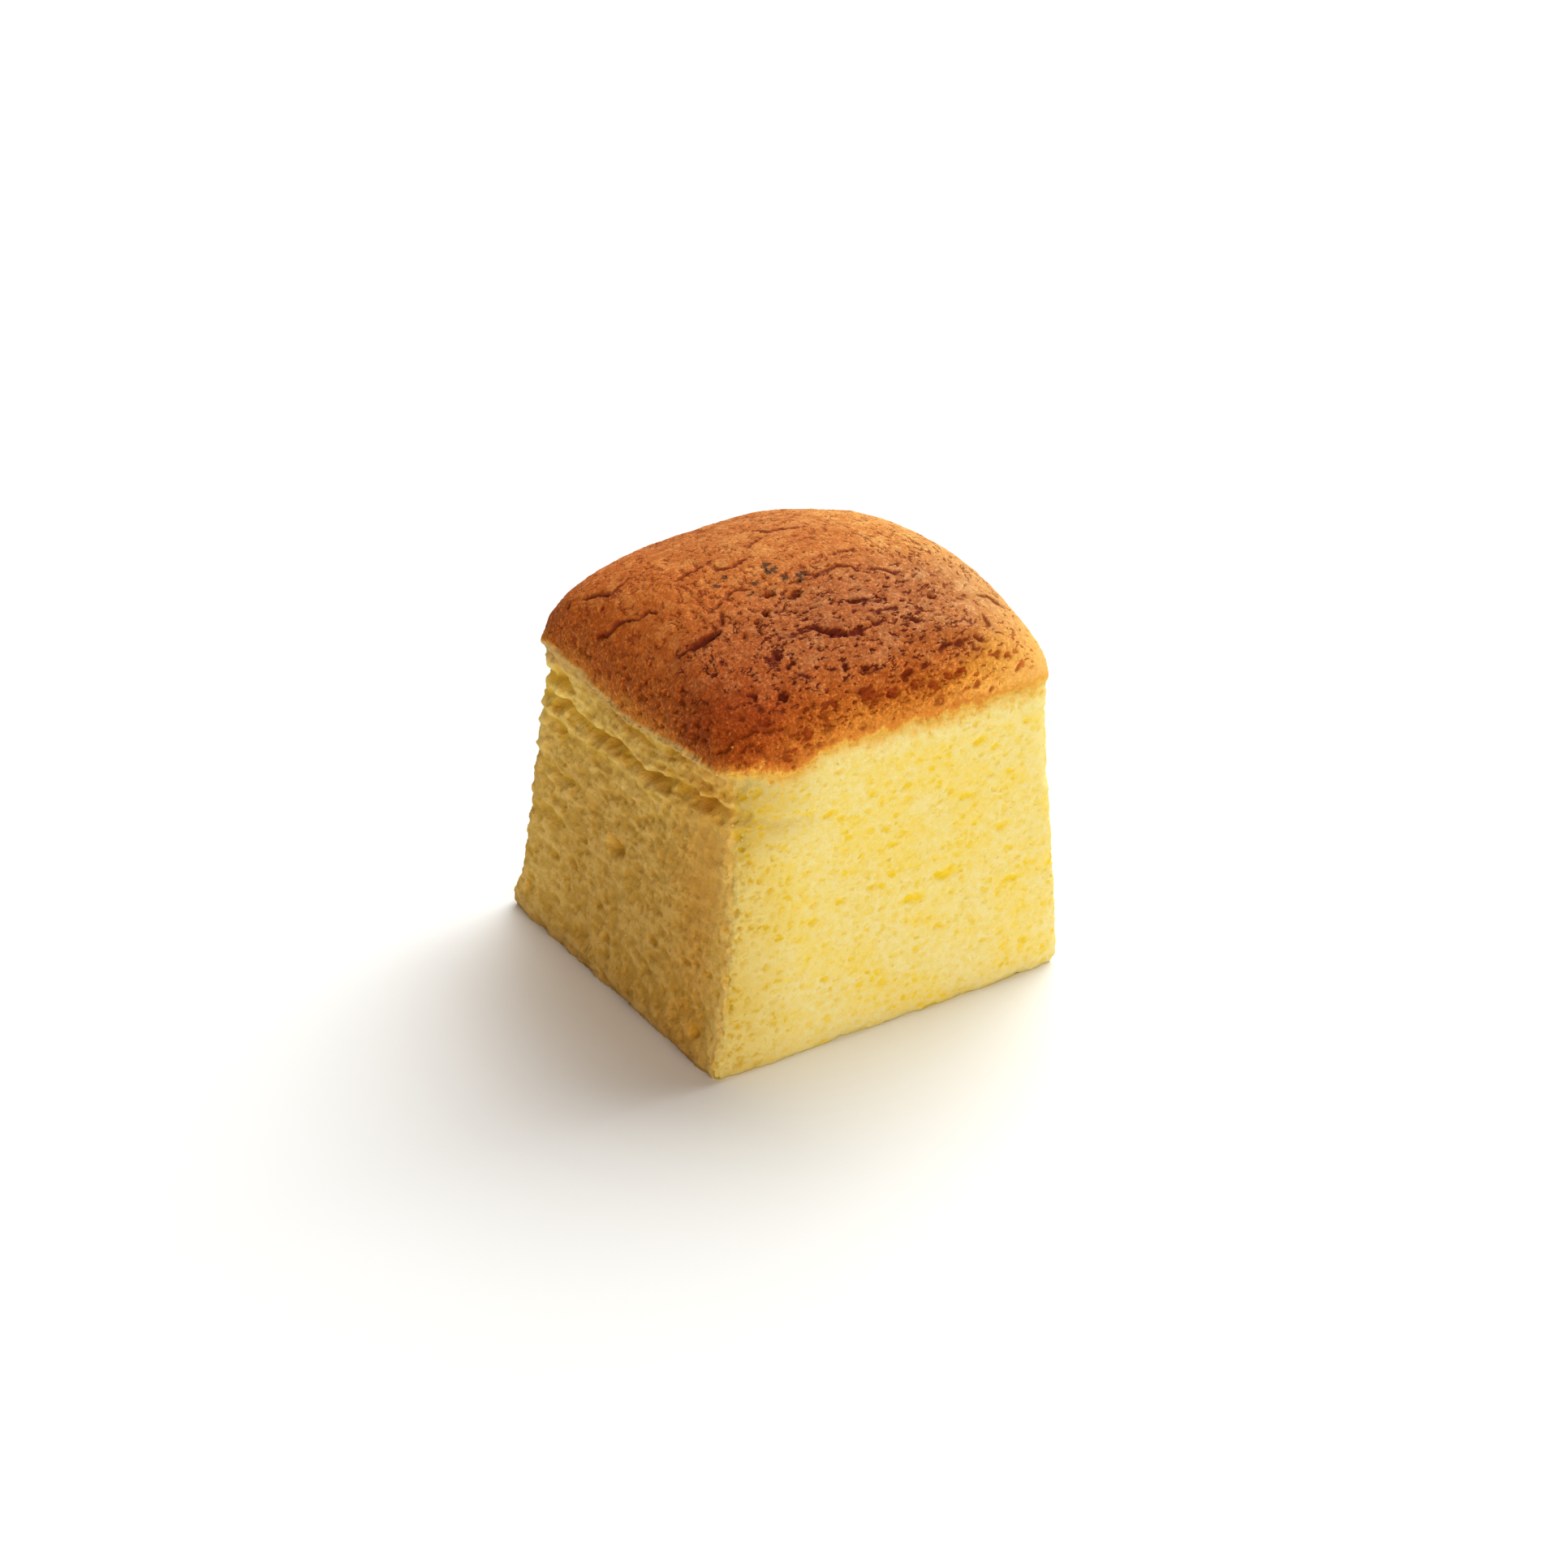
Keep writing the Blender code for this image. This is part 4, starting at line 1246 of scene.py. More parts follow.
def crumb_colour(nodes, place, pores, ridges, left, toasted, settings):
    """The crumb's colour, golden in its pores, and its speckle. Beside the near edge it is painted shade on
    the front and painted light on the left. High on the near corner it is painted shade. The browned walls
    are lit up with painted light towards the top and back, and the crumb turns darker at the very foot. The
    crust holds neither golden nor tan, and reads them as zero."""
    x, y, z = nodes.split(place)
    golden = held(nodes, "golden")
    crease = held(nodes, "crease")
    tan = held(nodes, "tan")
    climb = held(nodes, "climb")
    blotch = nodes.noise(place * (0.8, 0.8, 1.2), 5.0, 2.0, 2.0)
    speckle = nodes.noise(place, 0.9, 2.0, 4.0)
    fine = nodes.noise(place, 0.3, 2.0, 6.0)
    band = nodes.smooth(climb, -4.4, -3.0)
    pale = nodes.smooth(speckle, 0.36, 0.62) * 0.6 + 0.05 + band * 0.15 + nodes.smooth(z, 20.0, 6.0) * 0.2
    colour = nodes.tint(nodes.clamped(pale), settings.crumb_colour, settings.cream_colour)
    # Painted shade and painted light beside the near edge: darker crumb and pores on the front side, lighter
    # crumb and pores on the left side, and painted shade in the pores there.
    painted_shade_and_light_by_edge = nodes.smooth(x, *NEAR_EDGE) * nodes.smooth(y, 22.0, 10.0)
    painted_shade_high_by_corner = nodes.smooth(x, -8.0, -23.0) * nodes.smooth(z, 30.0, 38.0)
    painted_light_share = nodes.smooth(left, 0.7, 1.0)
    painted_edge_shade_and_light = nodes.tint(painted_light_share, settings.dim_colour, settings.glow_colour)
    # Painted shade high on the near corner, under the crust, mixes in the edge colour and darkens it.
    colour = nodes.tint(painted_shade_and_light_by_edge * nodes.mix(left, 0.75, 0.85) + painted_shade_high_by_corner * 0.25, colour, painted_edge_shade_and_light)
    colour = nodes.toned(painted_shade_high_by_corner, colour, (0.86, 0.82, 0.80))
    richer = nodes.smooth(blotch, 0.45, 0.6) * (1.0 - band)
    painted_pore_shade = (painted_shade_and_light_by_edge * 0.3 + painted_shade_high_by_corner * 0.4) * pores
    deep = nodes.clamped(pores * (0.85 + richer * 0.3) + golden * 0.9 + richer * 0.28 + painted_pore_shade)
    painted_pore_shade_and_light = nodes.tint(painted_light_share, settings.dim_pore_colour, settings.glow_pore_colour)
    inside = nodes.tint(painted_shade_and_light_by_edge * 0.9, settings.pore_colour, painted_pore_shade_and_light)
    colour = nodes.tint(deep, colour, inside)

    height = ridges + (speckle - 0.5) * 0.6
    tan_colour = nodes.tint(nodes.smooth(height, -0.14, 0.16), settings.toasted_colour, settings.tan_colour)
    tan_colour = nodes.tint(nodes.clamped(pores * 0.9), tan_colour, settings.toasted_pore_colour)
    tan_colour = nodes.tint(nodes.clamped(golden * 0.9 + crease), tan_colour, settings.crease_colour)
    # Painted light: the browned walls turn lighter towards the top and towards the back, most of all high at
    # the back.
    painted_light_up_and_back = nodes.at_most(nodes.smooth(z, 24.0, 36.0) + nodes.smooth(y, 6.0, 26.0), 1.0)
    tan_colour = nodes.toned(painted_light_up_and_back, tan_colour, (1.10, 1.16, 1.20))
    painted_light_far_top = nodes.smooth(z, 27.0, 38.0) * nodes.smooth(y, 2.0, 22.0)
    tan_colour = nodes.toned(painted_light_far_top, tan_colour, (1.2, 1.32, 1.5))
    tan_colour = nodes.toned(nodes.smooth(y, -7.0, -21.0), tan_colour, (1.05, 0.95, 0.82))
    face_x, face_y, _ = nodes.split(held_vector(nodes, "outward"))
    back_left_edge = nodes.smooth(face_y - face_x, 0.98, 1.15)
    toasted = nodes.at_least(toasted, back_left_edge)
    colour = nodes.tint(toasted, colour, tan_colour)
    colour = nodes.tint(tan * 0.65, colour, settings.skin_colour)
    # Darker towards the very foot, more so on the browned walls.
    darker_foot = nodes.smooth(z, 5.0, 0.2) * nodes.mix(toasted, 0.1, 0.5)
    colour = nodes.tint(darker_foot, colour, settings.foot_colour)
    return colour * (0.93 + fine * 0.14), speckle


def browned_edge(nodes, place, colour, line, pore, toasted, settings):
    """A crumb colour that turns golden, or papery on a browned wall, and then orange towards the crust. The
    orange is weaker on the right, as painted light on the lamp's side.
    """
    x, y, _ = nodes.split(place)
    reach = nodes.mix(nodes.smooth(y, -14.0, 10.0), -2.2, -4.4)
    gold = nodes.smooth(line, nodes.mix(toasted, -2.2, reach), nodes.mix(toasted, 0.1, reach * 0.55))
    colour = nodes.tint(gold, colour, nodes.tint(toasted, settings.golden_colour, settings.papery_colour))
    orange = nodes.smooth(line, nodes.mix(toasted, -0.4, 0.2), 0.9)
    seeped = pore * nodes.smooth(line, -3.8, -0.8) * nodes.mix(toasted, 0.5, 0.0)
    # Painted light: the orange is weaker on the right, on the lamp's side.
    painted_light_orange_share = 1.0 - nodes.smooth(x, 10.0, 26.0) * 0.7
    return nodes.tint(nodes.clamped(orange + seeped) * painted_light_orange_share, colour, settings.orange_colour)


def crumb_normal(nodes, place, pores, speckle, wrinkled):
    """The crumb's fine relief, and its finest grain."""
    fine = nodes.noise(place, 0.3, 3.0, 6.0)
    grit = nodes.noise(place, 0.5, 2.0, 16.0, 0.6)
    normal = bumped(nodes, pores * nodes.mix(wrinkled, -0.42, -0.55) + speckle * 0.4, 0.42, 0.75)
    normal = bumped(nodes, grit * nodes.mix(wrinkled, 0.6, 0.55), 0.4, 0.75, normal)
    return bumped(nodes, fine, 0.1, 0.7, normal), fine


def sponge_material(settings):
    """Pale yellow crumb with golden pores, tan where the tin browned it."""
    material, nodes, shader = new_material("sponge crumb")
    place = held_vector(nodes, "rest")
    left, wrinkled = browned_sides(nodes, place, held_vector(nodes, "outward"))
    pores, ridges = crumb_pattern(nodes, place, wrinkled)
    pores = pores * (1.0 - held(nodes, "tan") * 0.8)
    colour, speckle = crumb_colour(nodes, place, pores, ridges, left, wrinkled, settings)
    line = ragged_line(nodes, place, held(nodes, "climb"), wrinkled)
    colour = browned_edge(nodes, place, colour, line, pores, wrinkled, settings)
    normal, fine = crumb_normal(nodes, place, pores, speckle, wrinkled)
    nodes.feed(shader.inputs["Base Color"], colour)
    nodes.feed(shader.inputs["Roughness"], CRUMB_ROUGHNESS + fine * ROUGHNESS_SPREAD)
    nodes.feed(shader.inputs["Normal"], normal)
    softened(shader, settings)
    return material


# How far red, green and blue light travels in the crumb, and how glossy the finishes are.
# The crumb's roughness goes up from CRUMB_ROUGHNESS by chance, by at most ROUGHNESS_SPREAD.
GLOW_REACH = (1.0, 0.62, 0.22)
CRUMB_ROUGHNESS = 0.78
ROUGHNESS_SPREAD = 0.18
CRUMB_GLOSS = 0.15
CRUST_GLOSS = 0.08
FLOOR_GLOSS = 0.1
FLOOR_ROUGHNESS = 0.9


def softened(shader, settings):
    """Lets light pass a little way through the crumb."""
    shader.inputs["Subsurface Weight"].default_value = settings.softness
    shader.inputs["Subsurface Radius"].default_value = GLOW_REACH
    shader.inputs["Subsurface Scale"].default_value = settings.glow_depth
    shader.inputs["Specular IOR Level"].default_value = CRUMB_GLOSS


def baked_colour(nodes, place, climb, grain, settings):
    """The skin's colour between its marks, and how calm the skin is, from 0 to 1. It is orange at the rim
    and brown in the middle, with pale tops on its grain. Its right half is lifted and its right rim turned
    golden as painted light on the lamp's side."""
    x, y, _ = nodes.split(place)
    cloud = nodes.noise(place, 7.0, 3.0, 1.0)
    mottle = nodes.noise(place, 2.2, 3.0, 5.0, 0.6)
    above = nodes.smooth(climb, 4.0, 12.0)
    far = nodes.smooth(y, -17.0, -4.0) * above
    left_side = nodes.smooth(x, -6.0, -20.0) * above
    right_side = nodes.smooth(x, 3.0, 20.0)
    left_rim = nodes.smooth(x, -17.0, -25.0) * (1.0 - nodes.smooth(climb, 6.0, 12.0))
    right_rim = nodes.smooth(x, 13.0, 27.0)
    near_corner = nodes.smooth(x + y, -36.0, -47.0)

    baked = climb + (cloud - 0.5) * 9.0 + (mottle - 0.5) * 7.0 - right_side * 4.0 + left_rim * 3.6
    colour = nodes.tint(nodes.smooth(baked, -2.0, 4.5), settings.orange_rim_colour, settings.amber_colour)
    colour = nodes.tint(nodes.smooth(baked, 2.0, 8.0), colour, settings.deep_colour)
    colour = nodes.tint(nodes.smooth(climb, 6.0, 14.0), colour, settings.brown_colour)
    bright = nodes.tint(above, settings.bright_grain_colour, settings.pale_grain_colour)
    bloom = nodes.smooth(mottle, 0.47, 0.62) * above * 0.45
    bloom = bloom + nodes.smooth(grain, 0.5, 0.68) * nodes.mix(above, 0.5, 0.42)
    colour = nodes.tint(nodes.clamped(bloom), colour, bright)
    # The right side's factor is painted light on the lamp's side.
    for share, factor in (
        (far, (1.35, 1.4, 1.0)),
        (left_side, (1.07, 0.92, 0.78)),
        (right_side, (1.25, 1.65, 1.9)),
        (near_corner, (0.76, 0.58, 0.55)),
    ):
        colour = nodes.toned(share, colour, factor)
    calm = nodes.at_least(nodes.at_least(far, right_rim), right_side * 0.6)
    grit = nodes.smooth(grain, 0.25, 0.75)
    colour = colour * nodes.mix(calm, 0.56 + grit * 0.88, 0.76 + grit * 0.44)
    # Painted light: the right rim, on the lamp's side, turns golden.
    colour = nodes.tint(right_rim * 0.5, colour, settings.golden_rim_colour)
    return colour, calm, mottle


def cracked_colour(nodes, place, climb, grain, skin_colour, calm, settings):
    """The skin's colour with its cracks, hollows, holes and scorches, and how far open it is, from 0 to 1."""
    crack, hollow, pinhole = crust_pattern(nodes, place, climb)
    torn = held(nodes, "torn")
    scorch = held(nodes, "scorch")
    grit = nodes.smooth(grain, 0.25, 0.75)
    inner = nodes.smooth(climb, 4.0, 11.0)
    crack_colour = nodes.tint(inner, settings.amber_crack_colour, settings.crack_colour)
    crack_colour = nodes.toned(calm * (1.0 - torn * 0.7), crack_colour, (2.2, 2.5, 1.6))
    crack_colour = crack_colour * (0.55 + grit * 0.9)
    opened = torn * (0.7 + grit * 0.5) + crack * 1.1 + hollow * (0.1 + grit * 0.9) + pinhole
    opened = nodes.smooth(opened, 0.1, 0.9) * (1.0 - calm * 0.35)
    opened = nodes.at_least(opened, torn * (0.65 + grit * 0.4))
    colour = nodes.tint(opened, skin_colour, crack_colour)
    threads = nodes.lines(place, 1.3, 0.1, 21.0)
    colour = nodes.tint(scorch * 0.35, colour, crack_colour)
    burnt = nodes.smooth(scorch * (0.15 + threads * 0.8 + grit * 0.4), 0.25, 0.8)
    return nodes.tint(burnt * 0.9, colour, settings.scorch_colour), opened


def crust_material(settings, crumb):
    """Browned skin: brown in the middle, orange at the rim, with dark red-brown cracks. Below the ragged
    line it goes over into the sponge's crumb."""
    material, nodes, shader = new_material("browned skin")
    place = held_vector(nodes, "rest")
    climb = held(nodes, "climb")
    left, toasted = browned_sides(nodes, place, held_vector(nodes, "outward"))
    grain = nodes.noise(place, 0.42, 4.0, 7.0, 0.7)
    fine = nodes.noise(place, 0.2, 2.0, 12.0, 0.6)
    colour, calm, mottle = baked_colour(nodes, place, climb, grain, settings)
    colour, opened = cracked_colour(nodes, place, climb, grain, colour, calm, settings)

    pores, ridges = crumb_pattern(nodes, place, toasted)
    pale, speckle = crumb_colour(nodes, place, pores, ridges, left, toasted, crumb)
    line = ragged_line(nodes, place, climb, toasted)
    pale = browned_edge(nodes, place, pale, line, pores, toasted, crumb)
    browned = nodes.smooth(line, nodes.mix(toasted, 0.3, 0.4), nodes.mix(toasted, 1.6, 1.2))

    nodes.feed(shader.inputs["Base Color"], nodes.tint(browned, pale, colour))
    nodes.feed(shader.inputs["Roughness"], 0.6 + mottle * 0.25)
    normal = bumped(nodes, grain - opened * 0.8, 0.36, 0.8)
    nodes.feed(shader.inputs["Normal"], bumped(nodes, fine, 0.07, 0.7, normal))
    shader.inputs["Specular IOR Level"].default_value = CRUST_GLOSS

    normal, fine = crumb_normal(nodes, place, pores, speckle, toasted)
    roughness = CRUMB_ROUGHNESS + fine * ROUGHNESS_SPREAD
    inputs = {"Base Color": pale, "Roughness": roughness, "Normal": normal}
    soft = nodes.node("ShaderNodeBsdfPrincipled", None, inputs)
    softened(soft.socket.node, crumb)
    both = nodes.node("ShaderNodeMixShader", None, {0: browned, 1: soft, 2: Field(nodes, shader.outputs[0])})
    nodes.feed(material.node_tree.nodes["Material Output"].inputs["Surface"], both)
    return material


def loose_material(name, first, second):
    """Plain crumb or crust for scattered bits, in two shades."""
    material, nodes, shader = new_material(name)
    place = nodes.node("ShaderNodeTexCoord", None, None, "Object") / MM
    shade = nodes.noise(place, 1.1, 2.0, 1.0)
    fine = nodes.noise(place, 0.16, 2.0, 2.0)
    nodes.feed(shader.inputs["Base Color"], nodes.tint(nodes.smooth(shade, 0.4, 0.6), first, second))
    nodes.feed(shader.inputs["Roughness"], 0.7 + fine * 0.2)
    nodes.feed(shader.inputs["Normal"], bumped(nodes, fine, 0.04, 0.6))
    shader.inputs["Specular IOR Level"].default_value = CRUMB_GLOSS
    return material


def crumb_scatter():
    """Strews loose crumbs over the sponge, most of them along its upright edges."""
    tree = MeshTree("Loose crumbs", ["Crumb size", "Crumbs on a wall", "Crumbs on an edge"])
    surface = tree.given("Geometry")
    wall = tree.smooth(tree.named("wall"), 0.6, 0.9)
    low = tree.smooth(tree.named("climb"), -1.0, -2.5)
    density = tree.mix(tree.named("edge"), tree.given("Crumbs on a wall"), tree.given("Crumbs on an edge"))
    inputs = {"Radius": tree.given("Crumb size") * MM, "Subdivisions": 1}
    ball = tree.node("GeometryNodeMeshIcoSphere", None, inputs)
    bits = tree.scattered(surface, density * wall * low, ball, 0.4, 1.3, 11)
    tree.finish_strewn(bits, 0.3, 5.0, 0.35)
    return tree


def flake_scatter():
    """Strews torn flakes of skin along the crust's lower edge."""
    tree = MeshTree("Torn flakes", ["Flake size", "Flakes on the rim"])
    climb = tree.named("climb")
    _, toasted = browned_sides(tree, tree.place(), tree.named("outward", "FLOAT_VECTOR"))
    below = tree.smooth(climb, tree.mix(toasted, 6.0, 1.0), tree.mix(toasted, 2.0, 0.4))
    rim = tree.smooth(climb, -0.6, 0.3) * below
    patchy = tree.smooth(tree.noise(tree.place(), 5.0, 1.0, 3.0), 0.45, 0.6)
    density = tree.given("Flakes on the rim") * rim * patchy
    inputs = {"Radius": tree.given("Flake size") * MM, "Subdivisions": 2}
    disc = tree.node("GeometryNodeMeshIcoSphere", None, inputs)
    flat = tree.node("GeometryNodeTransform", None, {"Geometry": disc, "Scale": (1.0, 0.5, 0.16)})
    bits = tree.scattered(tree.given("Geometry"), density, flat, 0.4, 1.2, 23)
    tree.finish_strewn(bits, 0.8, 8.0, 0.8)
    return tree


def colour_property(name, description, colour):
    """A colour that a user may change, as linear red, green and blue."""
    return bpy.props.FloatVectorProperty(
        name=name, description=description, subtype="COLOR", size=3, min=0.0, max=1.0, default=colour
    )


def length_property(name, description, length):
    """A length in metres that a user may change."""
    return bpy.props.FloatProperty(
        name=name, description=description, subtype="DISTANCE", unit="LENGTH", min=0.0, default=length
    )


def number_property(name, description, number, **limits):
    """A plain number that a user may change, not under zero."""
    return bpy.props.FloatProperty(name=name, description=description, min=0.0, default=number, **limits)


class SpongeSettings(bpy.types.PropertyGroup):
    """Sizes and colours of the sponge."""

    pore_depth: length_property("Pore depth", "How deep the pores go", 0.00060)
    wrinkle_depth: length_property("Wrinkle depth", "How deep the wrinkles of the left and back go", 0.0011)
    edge_roughness: length_property("Edge roughness", "How crumbly the upright edges are", 0.00036)
    softness: number_property("Softness", "Share of light that passes through the crumb", 0.35, max=1.0)
    glow_depth: length_property("Glow depth", "How far light travels inside the crumb", 0.0016)
    crumb_colour: colour_property("Crumb", "Body of the crumb", (0.79, 0.65, 0.19))
    cream_colour: colour_property("Cream", "Pale ridges between the pores", (0.79, 0.70, 0.33))
    pore_colour: colour_property("Pore", "Golden inside of the pores", (0.82, 0.60, 0.03))
    # Painted shade and painted light beside the near edge: the next two colours are painted shade on the
    # front, and the two after them are painted light on the left. The first also tints loose crumbs.
    dim_colour: colour_property("Dim crumb", "Crumb beside the near edge", (0.66, 0.51, 0.143))
    dim_pore_colour: colour_property("Dim pore", "Pores beside the near edge", (0.58, 0.345, 0.014))
    glow_colour: colour_property("Glowing crumb", "Left crumb by the near edge", (0.88, 0.62, 0.18))
    glow_pore_colour: colour_property("Glowing pore", "Left pores by the near edge", (0.76, 0.42, 0.05))
    toasted_colour: colour_property("Toasted crumb", "Crumb of the left and back", (0.60, 0.345, 0.062))
    tan_colour: colour_property("Toasted ridge", "Ridges of the left and back", (0.75, 0.48, 0.125))
    toasted_pore_colour: colour_property("Toasted pore", "Pores of the left and back", (0.55, 0.28, 0.016))
    crease_colour: colour_property("Crease", "Golden folds of the left and back", (0.61, 0.335, 0.026))
    skin_colour: colour_property("Skin", "Smooth skin beside the near edge", (0.69, 0.355, 0.058))
    # The foot colour makes the crumb darker at the very foot.
    foot_colour: colour_property("Foot", "Darker crumb at the very foot", (0.42, 0.24, 0.07))
    golden_colour: colour_property("Golden edge", "Where the crumb starts to brown", (0.80, 0.46, 0.075))
    papery_colour: colour_property("Papery edge", "Pale torn edge on the left and back", (0.66, 0.40, 0.12))
    orange_colour: colour_property("Orange edge", "Where the crust starts", (0.62, 0.21, 0.025))
    crumb_size: length_property("Crumb size", "Usual radius of a loose crumb", 0.00020)
    wall_crumbs: number_property("Crumbs on a wall", "Loose crumbs on a square millimetre of wall", 0.002)
    edge_crumbs: number_property("Crumbs on an edge", "Loose crumbs on a square millimetre by an edge", 0.05)


class CrustSettings(bpy.types.PropertyGroup):
    """Sizes and colours of the crust."""

    crack_depth: length_property("Crack depth", "How deep the fine cracks go", 0.00030)
    hollow_depth: length_property("Hollow depth", "How deep the torn hollows at the rim go", 0.00060)
    pinhole_depth: length_property("Pinhole depth", "How deep the pinholes go", 0.00030)
    grain: length_property("Grain", "Height of the crust's fine grain", 0.00030)
    orange_rim_colour: colour_property("Orange rim", "Palest part of the rim", (0.74, 0.28, 0.045))
    # The golden rim is painted light on the rim on the lamp's side.
    golden_rim_colour: colour_property("Golden rim", "Rim on the side of the light", (0.88, 0.52, 0.17))
    amber_colour: colour_property("Amber", "Between the rim and the middle", (0.62, 0.205, 0.022))
    deep_colour: colour_property("Deep", "Red-brown round the middle", (0.43, 0.095, 0.009))
    brown_colour: colour_property("Brown", "Middle of the crust", (0.40, 0.105, 0.022))
    pale_grain_colour: colour_property("Pale grain", "Tops of the grain", (0.56, 0.23, 0.085))
    bright_grain_colour: colour_property("Bright grain", "Tops of the grain at the rim", (0.76, 0.28, 0.055))
    crack_colour: colour_property("Cracks", "Inside of the cracks in the middle", (0.15, 0.019, 0.007))
    amber_crack_colour: colour_property("Rim cracks", "Inside of the cracks at the rim", (0.34, 0.055, 0.006))
    scorch_colour: colour_property("Scorch", "Burnt bubbles", (0.055, 0.034, 0.013))
    flake_size: length_property("Flake size", "Largest half length of a torn flake", 0.00038)
    flakes: number_property("Flakes on the rim", "Torn flakes on a square millimetre of the rim", 0.22)
    flake_colour: colour_property("Flake", "Dark side of the torn flakes", (0.62, 0.22, 0.03))
    pale_flake_colour: colour_property("Pale flake", "Pale side of the torn flakes", (0.80, 0.42, 0.11))


class StageSettings(bpy.types.PropertyGroup):
    """The light, the floor and the camera's lens."""

    floor_colour: colour_property("Floor", "Plain pale floor", (0.86, 0.86, 0.86))
    sky_colour: colour_property("Surroundings", "Light from all around", (1.0, 0.80, 0.63))
    sky_strength: number_property("Surroundings", "Strength of the light from all around", 0.14)
    lamp_strength: number_property("Lamps", "Strength of the soft lights", 1.0)
    lens: number_property("Lens", "Focal length in millimetres", 74.53, subtype="DISTANCE_CAMERA")


class CHEESECAKE_OT_sponge(bpy.types.Operator):
    """Make the sponge block"""

    bl_idname = "cheesecake.make_sponge"
    bl_label = "Sponge"

    def execute(self, context):
        settings = context.scene.cheesecake_sponge
        skin = sponge_skin()
        points = skin.points()
        out_x, out_y = skin.gathered("out_x"), skin.gathered("out_y")
        dent, golden = pocket_depths(points, out_x, out_y)
        values = {
            **skin.marks(),
            "wall": skin.gathered("wall"),
            "dent": dent,
            "golden": golden,
            "tan": tan_shares(points, out_x, out_y),
        }
        sponge = placed("sponge", skin.mesh("sponge", values))
        applied(sponge, sponge_relief(), in_millimetres(settings, CRUMB_SIZES), sponge_material(settings))
        fastened(sponge)
        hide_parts("cheesecake")
        return {"FINISHED"}


class CHEESECAKE_OT_crumbs(bpy.types.Operator):
    """Strew loose crumbs over the sponge"""

    bl_idname = "cheesecake.make_crumbs"
    bl_label = "Loose crumbs"

    def execute(self, context):
        settings = context.scene.cheesecake_sponge
        crumbs = placed("loose_crumbs", bpy.data.objects["sponge"].data.copy())
        sizes = {
            "Crumb size": settings.crumb_size / MM,
            "Crumbs on a wall": settings.wall_crumbs,
            "Crumbs on an edge": settings.edge_crumbs,
        }
        material = loose_material("loose crumb", settings.crumb_colour, settings.dim_colour)
        applied(crumbs, crumb_scatter(), sizes, material)
        fastened(crumbs)
        return {"FINISHED"}


class CHEESECAKE_OT_crust(bpy.types.Operator):
    """Make the browned crust"""

    bl_idname = "cheesecake.make_crust"
    bl_label = "Crust"

    def execute(self, context):
        settings = context.scene.cheesecake_crust
        skin = crust_skin()
        points = skin.points()
        slit_depth, slit_share = slit_depths(points)
        hole_depth, hole_share = hole_depths(points)
        values = {
            **skin.marks(),
            "dent": np.maximum(slit_depth, hole_depth),
            "torn": np.maximum(slit_share, hole_share),
            "scorch": scorch_shares(points),
        }
        crust = placed("crust", skin.mesh("crust", values))
        crumb = context.scene.cheesecake_sponge
        sizes = {**in_millimetres(settings, CRUST_SIZES), **in_millimetres(crumb, CRUMB_SIZES)}
        applied(crust, crust_relief(), sizes, crust_material(settings, crumb))
        fastened(crust)
        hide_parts("cheesecake")
        return {"FINISHED"}


class CHEESECAKE_OT_flakes(bpy.types.Operator):
    """Strew torn flakes along the crust's edge"""

    bl_idname = "cheesecake.make_flakes"
    bl_label = "Torn flakes"

    def execute(self, context):
        settings = context.scene.cheesecake_crust
        flakes = placed("torn_flakes", bpy.data.objects["crust"].data.copy())
        sizes = {"Flake size": settings.flake_size / MM, "Flakes on the rim": settings.flakes}
        material = loose_material("torn flake", settings.flake_colour, settings.pale_flake_colour)
        applied(flakes, flake_scatter(), sizes, material)
        fastened(flakes)
        return {"FINISHED"}


# The camera, fitted to the picture: it looks along +Y at azimuth 0, and aims at a point inside the cake.
CAMERA_AZIMUTH = -32.73
CAMERA_ELEVATION = 28.83
CAMERA_DISTANCE = 0.4485
CAMERA_AIM = (-0.00511, -0.00874, 0.030)
SENSOR_WIDTH = 36.0

# Soft square lights, each seen from the cake by its azimuth, its elevation and its distance in metres. The
# main one stands on the right and a little behind, and a warm one low in front gives back some light.
Lamp = namedtuple("Lamp", "name azimuth elevation distance size power colour")
LAMPS = (
    Lamp("main_light", 118.0, 46.0, 3.0, 3.3, 185.0, (0.93, 0.985, 1.0)),
    Lamp("fill_light", -14.0, 20.0, 2.0, 1.5, 27.0, (1.0, 0.88, 0.76)),
)
FLOOR_REACH = 8.0
FLOOR_DROP = 0.00002
NEAR_CLIP = 0.01
FAR_CLIP = 40.0


def seen_from(azimuth, elevation):
    """The direction from the cake towards a viewer. Azimuth 0 is in front, and 90 is on the right."""
    turn, lift = math.radians(azimuth), math.radians(elevation)
    return Vector((math.sin(turn) * math.cos(lift), -math.cos(turn) * math.cos(lift), math.sin(lift)))


class CHEESECAKE_OT_stage(bpy.types.Operator):
    """Make the floor, the lights and the camera"""

    bl_idname = "cheesecake.make_stage"
    bl_label = "Stage"

    def execute(self, context):
        settings = context.scene.cheesecake_stage
        make_floor(settings)
        make_lights(context.scene, settings)
        make_camera(context.scene, settings)
        return {"FINISHED"}


def aimed(scene, name, data, direction, place):
    """A light or camera at a place, looking back along the direction in which it is seen."""
    obj = bpy.data.objects.new(name, data)
    obj.location = place
    obj.rotation_mode = "QUATERNION"
    obj.rotation_quaternion = direction.to_track_quat("Z", "Y")
    scene.collection.objects.link(obj)
    return obj


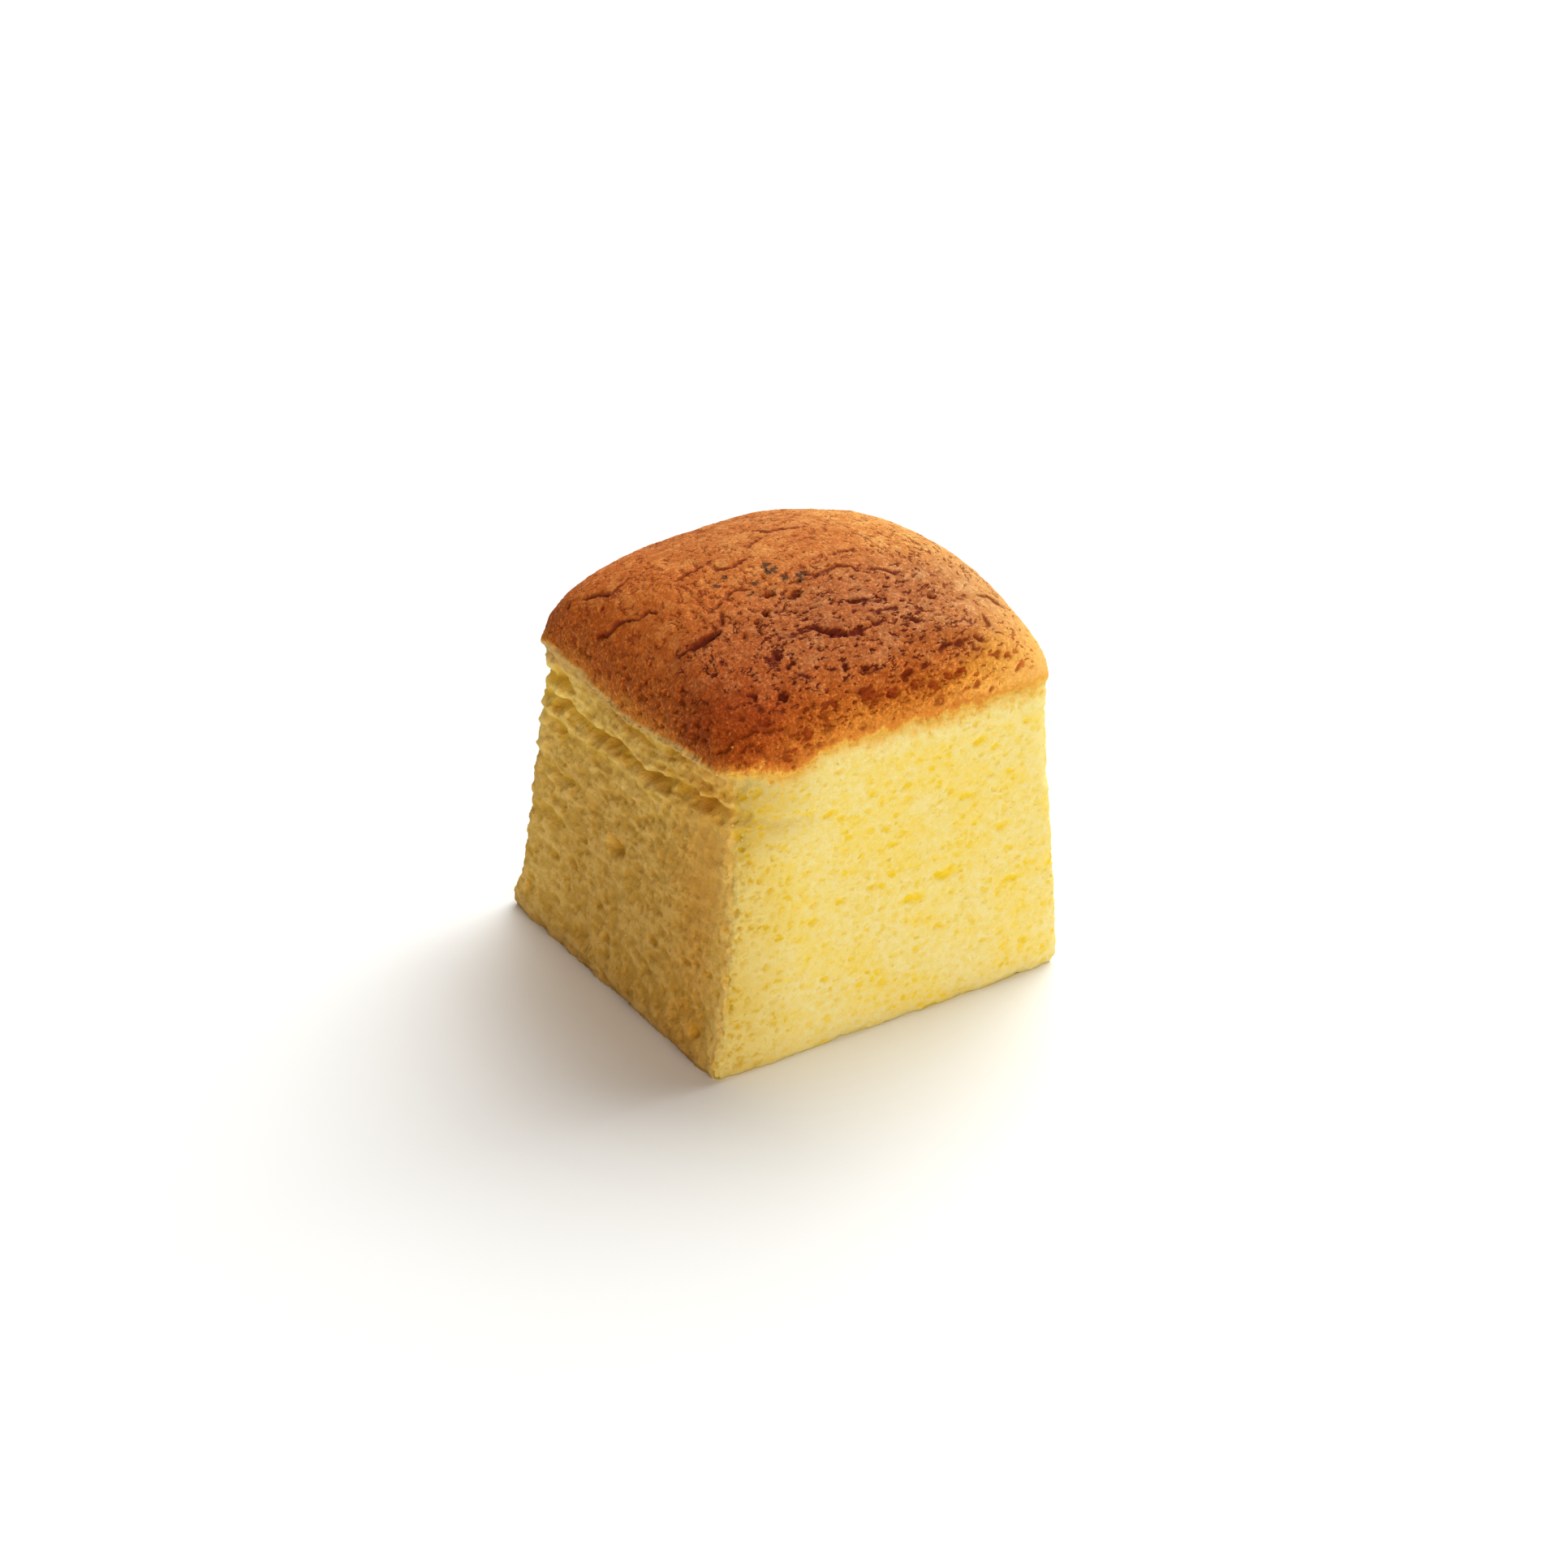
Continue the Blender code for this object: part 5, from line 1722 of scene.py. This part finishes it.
def make_floor(settings):
    """A wide pale floor, just under the cake."""
    corners = [(x * FLOOR_REACH, y * FLOOR_REACH, -FLOOR_DROP) for x, y in SQUARE]
    mesh = bpy.data.meshes.new("floor")
    mesh.from_pydata(corners, [], [(0, 1, 2, 3)])
    floor = placed("floor", mesh)
    material, nodes, shader = new_material("pale floor")
    shader.inputs["Base Color"].default_value = (*settings.floor_colour, 1.0)
    shader.inputs["Roughness"].default_value = FLOOR_ROUGHNESS
    shader.inputs["Specular IOR Level"].default_value = FLOOR_GLOSS
    mesh.materials.append(material)


def make_lights(scene, settings):
    """Faint light from all around, and the soft square lights."""
    world = bpy.data.worlds.new("surroundings")
    world.use_nodes = True
    background = world.node_tree.nodes["Background"]
    background.inputs["Color"].default_value = (*settings.sky_colour, 1.0)
    background.inputs["Strength"].default_value = settings.sky_strength
    scene.world = world
    for lamp in LAMPS:
        light = bpy.data.lights.new(lamp.name, "AREA")
        light.shape = "SQUARE"
        light.size = lamp.size
        light.energy = lamp.power * settings.lamp_strength
        light.color = lamp.colour
        direction = seen_from(lamp.azimuth, lamp.elevation)
        aimed(scene, lamp.name, light, direction, direction * lamp.distance)


def make_camera(scene, settings):
    """The camera at the picture's viewing angle."""
    data = bpy.data.cameras.new("camera")
    data.lens = settings.lens
    data.sensor_width = SENSOR_WIDTH
    data.clip_start = NEAR_CLIP
    data.clip_end = FAR_CLIP
    direction = seen_from(CAMERA_AZIMUTH, CAMERA_ELEVATION)
    place = Vector(CAMERA_AIM) + direction * CAMERA_DISTANCE
    scene.camera = aimed(scene, "camera", data, direction, place)
    scene.view_settings.view_transform = "Standard"


class CHEESECAKE_PT_panel(bpy.types.Panel):
    """Lists the steps and their settings"""

    bl_idname = "CHEESECAKE_PT_panel"
    bl_label = "Cotton cheesecake"
    bl_space_type = "VIEW_3D"
    bl_region_type = "UI"
    bl_category = "Cheesecake"

    def draw(self, context):
        for group, steps in STEPS.items():
            box = self.layout.box()
            settings = getattr(context.scene, group)
            for name in settings.bl_rna.properties.keys():
                if name not in ("rna_type", "name"):
                    box.prop(settings, name)
            for step in steps:
                box.operator(step.bl_idname)


STEPS = {
    "cheesecake_stage": (CHEESECAKE_OT_stage,),
    "cheesecake_sponge": (CHEESECAKE_OT_sponge, CHEESECAKE_OT_crumbs),
    "cheesecake_crust": (CHEESECAKE_OT_crust, CHEESECAKE_OT_flakes),
}
SETTINGS = {
    "cheesecake_stage": StageSettings,
    "cheesecake_sponge": SpongeSettings,
    "cheesecake_crust": CrustSettings,
}
CLASSES = (
    *SETTINGS.values(),
    *(step for steps in STEPS.values() for step in steps),
    CHEESECAKE_PT_panel,
)


def register():
    for cls in CLASSES:
        bpy.utils.register_class(cls)
    for name, group in SETTINGS.items():
        setattr(bpy.types.Scene, name, bpy.props.PointerProperty(type=group))


def unregister():
    for name in SETTINGS:
        delattr(bpy.types.Scene, name)
    for cls in reversed(CLASSES):
        bpy.utils.unregister_class(cls)


def main():
    register()
    bpy.ops.cheesecake.make_stage()
    bpy.ops.cheesecake.make_sponge()
    bpy.ops.cheesecake.make_crust()
    bpy.ops.cheesecake.make_crumbs()
    bpy.ops.cheesecake.make_flakes()


if __name__ == "__main__":
    main()
